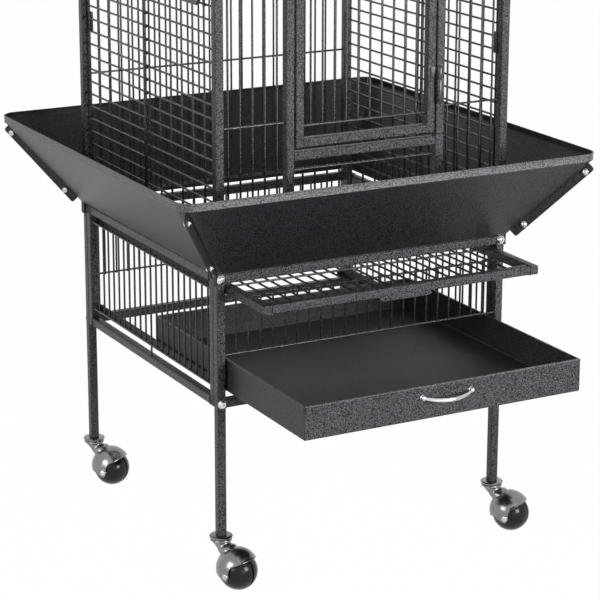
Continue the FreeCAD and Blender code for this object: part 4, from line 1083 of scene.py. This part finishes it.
def throughThree(a, b, c, count):
    # points on the arc from a to c by way of b
    ab, ac = b - a, c - a
    normal = ab.cross(ac)
    centre = a + (normal.cross(ab) * ac.length_squared + ac.cross(normal) * ab.length_squared) / (
        2 * normal.length_squared)
    start = a - centre
    side = normal.normalized().cross(start)
    whole = math.atan2((c - centre).dot(side), (c - centre).dot(start)) % (2 * pi)
    turns = [whole * i / (count - 1) for i in range(count)]
    return [centre + start * cos(turn) + side * sin(turn) for turn in turns]


def makeHandle():
    low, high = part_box("tray_handle")
    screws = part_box("handle_screws")
    span, footZ = (high.x - low.x) / 2 - handleLook["foot"], (screws[0].z + screws[1].z) / 2
    left, right = [Vector((x, trayBox[0].y - handleLook["footLength"], footZ)) for x in (-span, span)]
    crest = Vector((0, low.y + handleLook["sunk"], low.z + handleLook["sunk"]))
    points = throughThree(left, crest, right, handleLook["points"])
    shares = [sin(pi * i / (len(points) - 1)) for i in range(len(points))]
    swell = handleLook["middle"] - handleLook["ends"]
    radii = [handleLook["ends"] + swell * share ** handleLook["ease"] for share in shares]
    parts = [bentRod(points, radii, sides=handleLook["sides"], finish=brightChrome)]
    for x in (-span, span):
        seat = Vector((x, trayBox[0].y - handleLook["seat"], footZ))
        parts.append(spun(handleLook["profile"], seat, (0, -1, 0), handleLook["steps"]))
    addPiece("trayHandle", parts, handleLook["sharp"], brightChrome, "chrome", "tray", "tray_handle")


pullLook = {"sheet": 0.0012, "roll": 0.0013, "curl": 0.0016, "points": 28, "fade": 0.86, "fadeDrop": 0.45,
            "tuck": 0.001, "back": 0.0001, "rollFrom": 110, "rollStep": 38, "rollSteps": 7, "rollOut": 0.4,
            "rollRise": 2.2, "leanShare": 0.3, "sharp": 45}


def makePull():
    # a shallow tab whose lower edge rolls forward and dies away at its ends
    low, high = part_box("grille_pull")
    sheet, roll = pullLook["sheet"], pullLook["roll"]
    face, top = low.y + pullLook["back"], high.z + pullLook["tuck"]
    rings = []
    for i in range(pullLook["points"] + 1):
        share = -1 + 2 * i / pullLook["points"]
        x = share * (high.x - low.x) / 2
        end = max((abs(share) - pullLook["fade"]) / (1 - pullLook["fade"]), 0.0)
        bottom = high.z - (high.z - low.z) * (1 - pullLook["fadeDrop"] * end ** 2)
        lean = -pullLook["curl"] * end
        neck, rise = face + lean * pullLook["leanShare"], bottom + roll * pullLook["rollRise"]
        ring = [(face + sheet, top), (face, top), (neck, rise)]
        for k in range(pullLook["rollSteps"]):
            angle = radians(pullLook["rollFrom"] + pullLook["rollStep"] * k)
            ring.append((face + lean + roll * (pullLook["rollOut"] + cos(angle)),
                         bottom + roll * (1 + sin(angle))))
        ring.append((neck + sheet, rise))
        rings.append([Vector((x, y, z)) for y, z in ring])
    pull = outwardMesh("pull", *stackRings(rings))
    addPiece("grillePull", [pull], pullLook["sharp"], tubeEnamel, "hammertone", "grille", "grille_pull")


makeTray()
makeHandle()
makePull()
print("tray, handle and pull done")


# casters

hoodLook = {"gap": 0.0018, "sheet": 0.0012, "lift": 0.004, "tilt": 27.0, "rise": 80.0, "leaf": 31.0,
            "leafSpread": 34.0, "leafTurn": 96.0, "around": 96, "down": 16, "lip": 1.2, "sharp": 55,
            # the rolled rim: share from the outer face to the inner, out from it, share of the lip
            "rim": [(0.0, 0.0004, 0.4), (0.0, 0.0003, 1.0), (0.5, 0.0, 1.35), (1.0, -0.0001, 1.0),
                    (1.0, 0.0, 0.0)]}
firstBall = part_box("caster_ball_front_left")
ballRadius = round((firstBall[1].x - firstBall[0].x) / 2, 4)
hoodRadius = ballRadius + hoodLook["gap"] + hoodLook["sheet"]
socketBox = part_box("caster_sockets")


def hoodEdge(turn):
    # how far the hood comes down, in degrees from its crown, by the way round it
    aside = min(abs(abs(turn) - hoodLook["leafTurn"]) / hoodLook["leafSpread"], 1.0)
    return hoodLook["rise"] + hoodLook["leaf"] * cos(pi / 2 * aside) ** 2


def hoodShell(middle, crown, level, across):
    # a tilted dome round the ball, outside first, over the rim and back up the inside
    inner, around, down = hoodRadius - hoodLook["sheet"], hoodLook["around"], hoodLook["down"]
    layers = [(hoodRadius, k / down, 0.0) for k in range(1, down + 1)]
    layers += [(hoodRadius + (inner - hoodRadius) * share + out, 1.0, radians(hoodLook["lip"]) * part)
               for share, out, part in hoodLook["rim"]]
    layers += [(inner, k / down, 0.0) for k in range(down - 1, 0, -1)]
    rings = []
    for radius, share, more in layers:
        ring = []
        for i in range(around):
            turn = 360.0 * i / around
            flat = level * cos(radians(turn)) + across * sin(radians(turn))
            drop = radians(hoodEdge(turn - 360 if turn > 180 else turn)) * share + more
            ring.append(middle + radius * (crown * cos(drop) + flat * sin(drop)))
        rings.append(ring)
    ends = [middle + crown * radius for radius in (hoodRadius, inner)]
    return outwardMesh("shell", *closeOnPoints(*stackRings(rings, False, False), around, *ends))


neckLook = {"top": 0.0148, "waist": 0.0098, "foot": 30.0, "straight": 0.0095, "reachDown": 0.018,
            "reachOut": 0.016, "steps": 9, "around": 28, "easeFrom": 0.1, "easeRate": 1.15, "flarePower": 5,
            "sunk": 0.0003, "footSunk": 0.0004, "stem": 0.004, "stemRise": 0.0272}


def neckShape(middle, trail, across, stem):
    # a swan neck from the cap's underside to a flared root on the hood
    sunk, steps, around = neckLook["sunk"], neckLook["steps"], neckLook["around"]
    top = Vector((stem.x, stem.y, socketBox[0].z - sunk))
    into = (top - upward * neckLook["reachDown"] + trail * neckLook["reachOut"] - middle).normalized()
    foot = middle + into * hoodRadius
    bend = top - upward * neckLook["straight"]
    root = sin(radians(neckLook["foot"])) * hoodRadius
    rings = []
    for k in range(steps + 1):
        t = k / steps
        place = top * (1 - t) ** 2 + bend * 2 * t * (1 - t) + foot * t * t
        way = (-upward * (1 - t) - into * t).normalized()
        other = way.cross(across).normalized()
        ease = max(1 - neckLook["easeRate"] * max(t - neckLook["easeFrom"], 0), 0) ** 3
        waist = neckLook["top"] * ease + neckLook["waist"] * (1 - ease)
        radius = waist + (root - neckLook["waist"]) * t ** neckLook["flarePower"]
        least = hoodRadius - (neckLook["footSunk"] if k == steps else sunk)
        ring = []
        for i in range(around):
            angle = 2 * pi * i / around
            point = place + across * radius * cos(angle) + other * radius * sin(angle)
            if k == steps or (point - middle).length < least:
                point = middle + (point - middle).normalized() * least
            ring.append(point)
        rings.append(ring)
    hub = rings[0][0].lerp(rings[0][around // 2], 0.5)
    upper = [[top + upward * rise + (p - hub).normalized() * neckLook["stem"] for p in rings[0]]
             for rise in (neckLook["stemRise"], 0.0)]
    return outwardMesh("neck", *stackRings(upper + rings))


rivetLook = {"boss": 0.0055, "bossFace": 0.0002, "bossDepth": 0.0016, "bossSteps": 28, "steps": 24,
             "profile": [(0.0, 0.0), (0.0042, 0.0), (0.004116, 0.00064), (0.003444, 0.0012),
                         (0.0021, 0.001552), (0.0, 0.0016)], "sharp": 50}


def bossShape(centre, way):
    # the raised seat round one end of the axle
    boss, depth = rivetLook["boss"], rivetLook["bossDepth"]
    face = rivetLook["bossFace"] + depth
    profile = [(0.0, 0.0), (boss, 0.0), (boss, face * 0.7), (boss * 0.95, face * 0.94), (boss * 0.86, face),
               (0.0, face)]
    return spun(profile, centre + way * (hoodRadius - depth), way, rivetLook["bossSteps"])


ballForm = {"groove": 0.003, "grooveDepth": 0.002, "edge": 0.0007, "hair": 0.0001, "clear": 0.6, "rings": 19,
            "steps": 72, "sharp": 35}


def ballProfile():
    # two half balls with a groove between them
    half, edge = ballForm["groove"] / 2, ballRadius - ballForm["edge"]
    low, count = ballRadius - ballForm["grooveDepth"], ballForm["rings"]
    reach = 90 - math.degrees(math.asin(half / ballRadius)) - ballForm["clear"]
    lower = [(0.0, -ballRadius)]
    for k in range(1, count + 1):
        angle = radians(-90 + reach * k / count)
        lower.append((ballRadius * cos(angle), ballRadius * sin(angle)))
    lower += [(edge, -half - ballForm["hair"]), (low, -half * 0.8)]
    return lower + [(radius, -height) for radius, height in reversed(lower)]


def makeCaster(corner, stem):
    low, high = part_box("caster_ball_" + corner)
    centre = (low + high) / 2
    trail = Vector((centre.x - stem.x, centre.y - stem.y, 0)).normalized()
    across = upward.cross(trail)
    ways = (across, -across)
    tilt = radians(hoodLook["tilt"])
    crown = upward * cos(tilt) - trail * sin(tilt)
    level = trail * cos(tilt) + upward * sin(tilt)
    middle = centre + crown * hoodLook["lift"]
    swivel = "swivel_" + corner
    parts = [hoodShell(middle, crown, level, across), neckShape(middle, trail, across, stem)]
    parts += [bossShape(centre, way) for way in ways]
    addPiece("hood_" + corner, parts, hoodLook["sharp"], nickelPlate, "caster_metal", swivel,
             "caster_hood_" + corner)
    parts = [spun(rivetLook["profile"], centre + way * (hoodRadius + rivetLook["bossFace"]), way,
                  rivetLook["steps"]) for way in ways]
    addPiece("rivets_" + corner, parts, rivetLook["sharp"], brightChrome, "caster_metal", swivel,
             "caster_axle_" + corner)
    addPiece("ball_" + corner, [spun(ballProfile(), centre, across, ballForm["steps"])], ballForm["sharp"],
             ballBlack, "caster_ball", "ball_" + corner, "caster_ball_" + corner)


socketLook = {"under": 0.0155, "underHeight": 0.0032, "cap": 0.0165, "capHeight": 0.005, "steps": 48,
              "plugGap": 0.0011, "plugSunk": 0.0002, "plugCorner": 0.0006, "sharp": 40,
              # shares of the radius and of the height: under the foot, then above
              "low": [(0.0, -1.0), (0.9, -1.0), (0.98, -0.8), (1.0, -0.5), (0.98, -0.2), (0.93, 0.0)],
              "high": [(0.9, 0.12), (0.98, 0.44), (1.0, 0.55), (1.0, 0.72), (0.96, 0.86), (0.84, 0.97),
                       (0.76, 1.0), (0.0, 1.0)]}


def makeSockets(stems):
    parts = []
    low, top = socketBox[0].z, socketBox[1].z
    height, plug = socketLook["capHeight"], halfWidth - postX - socketLook["plugGap"]
    profile = [(socketLook["under"] * out, socketLook["underHeight"] * up) for out, up in socketLook["low"]]
    profile += [(socketLook["cap"] * out, height * up) for out, up in socketLook["high"]]
    for stem in stems:
        parts.append(spun(profile, Vector((stem.x, stem.y, low)), upward, socketLook["steps"]))
        parts.append(softBar(Vector((stem.x - plug, stem.y - plug, low + height - socketLook["plugSunk"])),
                             Vector((stem.x + plug, stem.y + plug, top)), socketLook["plugCorner"]))
    addPiece("casterSockets", parts, socketLook["sharp"], nickelPlate, "caster_metal", "stand_and_cage",
             "caster_sockets")


stems = {end + "_" + side: Vector((sx * postX, cageY + sy * postY, 0))
         for end, sy in (("front", -1), ("rear", 1)) for side, sx in (("left", -1), ("right", 1))}
for corner, stem in stems.items():
    makeCaster(corner, stem)
makeSockets(stems.values())
print("casters done")


# hinges, latch, clips, runners and screws

breakLook = {"hinge": 0.0005, "small": 0.0004, "sheet": 0.0003, "sharp": 40, "weld": 2e-6, "flat": 1.0}


def bevelledCopy(node, width, segments, finish, slot):
    # a CAD node's own shape with its edges broken
    bm = bmesh.new()
    bm.from_mesh(nodes[node].data)
    bmesh.ops.remove_doubles(bm, verts=bm.verts, dist=breakLook["weld"])
    bmesh.ops.dissolve_limit(bm, angle_limit=radians(breakLook["flat"]), verts=bm.verts, edges=bm.edges)
    mesh = bpy.data.meshes.new(node)
    bm.to_mesh(mesh)
    bm.free()
    obj = addPiece(node + "Finished", [mesh], None, finish, slot, nodes[node]["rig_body"], node)
    edges = obj.modifiers.new("brokenEdges", "BEVEL")
    edges.width, edges.segments = width, segments
    edges.limit_method = "ANGLE"
    edges.angle_limit = radians(breakLook["sharp"])
    edges.harden_normals = True


for node, width, segments, finish, slot in (
        ("hinge_jamb_leaves", "hinge", 2, hingeEnamel, "hinge_paint"),
        ("hinge_door_leaves", "hinge", 2, hingeEnamel, "hinge_paint"),
        ("hinge_pins", "small", 2, zincPlate, "zinc"),
        ("latch_keeper", "small", 2, tubeEnamel, "hammertone"),
        ("door_latch", "small", 2, tubeEnamel, "hammertone"),
        ("latch_screw", "small", 2, zincPlate, "zinc"),
        ("panel_clips", "small", 2, tubeEnamel, "hammertone"),
        ("tray_runners", "sheet", 1, sheetEnamel, "hammertone"),
        ("grille_runners", "sheet", 1, sheetEnamel, "hammertone"),
        ("handle_screws", "small", 2, zincPlate, "zinc"),
        ("perch_fasteners", "small", 2, zincPlate, "zinc"),
        ("post_couplers", "small", 1, zincPlate, "zinc")):
    bevelledCopy(node, breakLook[width], segments, finish, slot)
print("small hardware done")


# stage

paleStage = {"floor": (0.8, 0.8, 0.8, 1), "world": (1.0, 1.0, 1.0, 1), "level": 0.09, "bright": 0.992,
             "reach": 6.0}
whiteLight = (1, 1, 1, 1)


def whiteToCamera(tree, plain, bright, output):
    # camera, glossy and transmitted rays see plain white
    rays = addNode(tree, "ShaderNodeLightPath").outputs
    seen = nodeMath(tree, "MAXIMUM", nodeMath(tree, "MAXIMUM", rays["Is Camera Ray"], rays["Is Glossy Ray"]),
                    rays["Is Transmission Ray"])
    addNode(tree, output, {"Surface": addNode(tree, "ShaderNodeMixShader", {0: seen, 1: plain, 2: bright})})


def emptyTree(owner):
    owner.use_nodes = True
    owner.node_tree.nodes.clear()
    return owner.node_tree


def makeWorld():
    world = bpy.data.worlds.new("studio")
    tree = emptyTree(world)
    plain, bright = [addNode(tree, "ShaderNodeBackground", {"Color": colour, "Strength": strength})
                     for colour, strength in ((paleStage["world"], paleStage["level"]), (whiteLight, 1.0))]
    whiteToCamera(tree, plain, bright, "ShaderNodeOutputWorld")
    bpy.context.scene.world = world


def makeFloor():
    reach, low = paleStage["reach"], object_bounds()[0].z
    corners = [(-reach, -reach, low), (reach, -reach, low), (reach, reach, low), (-reach, reach, low)]
    mesh = newMesh("floor", corners, [(0, 1, 2, 3)])
    mesh.materials.append(bpy.data.materials.new("paleFloor"))
    tree = emptyTree(mesh.materials[0])
    matt = addNode(tree, "ShaderNodeBsdfDiffuse", {"Color": paleStage["floor"]})
    glow = addNode(tree, "ShaderNodeEmission", {"Color": whiteLight})
    shade = addNode(tree, "ShaderNodeMixShader", {0: paleStage["bright"], 1: matt, 2: glow})
    whiteToCamera(tree, matt, shade, "ShaderNodeOutputMaterial")
    placeObject("floor", mesh)


lampLook = {
    "key": {"place": (-2.7, -1.0, 1.5), "target": (0, 0, 0.7), "size": 1.5, "power": 35, "spread": 180},
    "near": {"place": (0.6, -1.9, 0.8), "target": (0, -0.25, 0.85), "size": 0.7, "power": 12, "spread": 100},
    "low": {"place": (-0.2, -3.4, 0.45), "target": (0, 0, 0.6), "size": 1.5, "power": 9, "spread": 180}}


def addLamp(name, look):
    light = bpy.data.lights.new(name, "AREA")
    light.shape, light.size, light.energy = "SQUARE", look["size"], look["power"]
    light.spread = radians(look["spread"])
    lamp = placeObject(name, light)
    lamp.location = look["place"]
    lamp.rotation_euler = (Vector(look["target"]) - Vector(look["place"])).to_track_quat("-Z", "Y").to_euler()
    lamp.visible_camera = False


cameraLook = {"lens": 133.8, "sensor": 36.0, "shiftX": 0.03, "shiftY": -0.06,
              "place": (-1.4962, -2.7462, 1.2742), "turn": -27.82, "down": 15.68}


def addCamera():
    lens = bpy.data.cameras.new("camera")
    lens.lens, lens.sensor_width = cameraLook["lens"], cameraLook["sensor"]
    lens.shift_x, lens.shift_y = cameraLook["shiftX"], cameraLook["shiftY"]
    viewer = placeObject("camera", lens)
    viewer.location = cameraLook["place"]
    viewer.rotation_euler = (radians(90 - cameraLook["down"]), 0, radians(cameraLook["turn"]))
    bpy.context.scene.camera = viewer


makeWorld()
makeFloor()
for name, look in lampLook.items():
    addLamp(name, look)
addCamera()
bpy.context.scene.view_settings.view_transform = "Standard"
print("stage done")
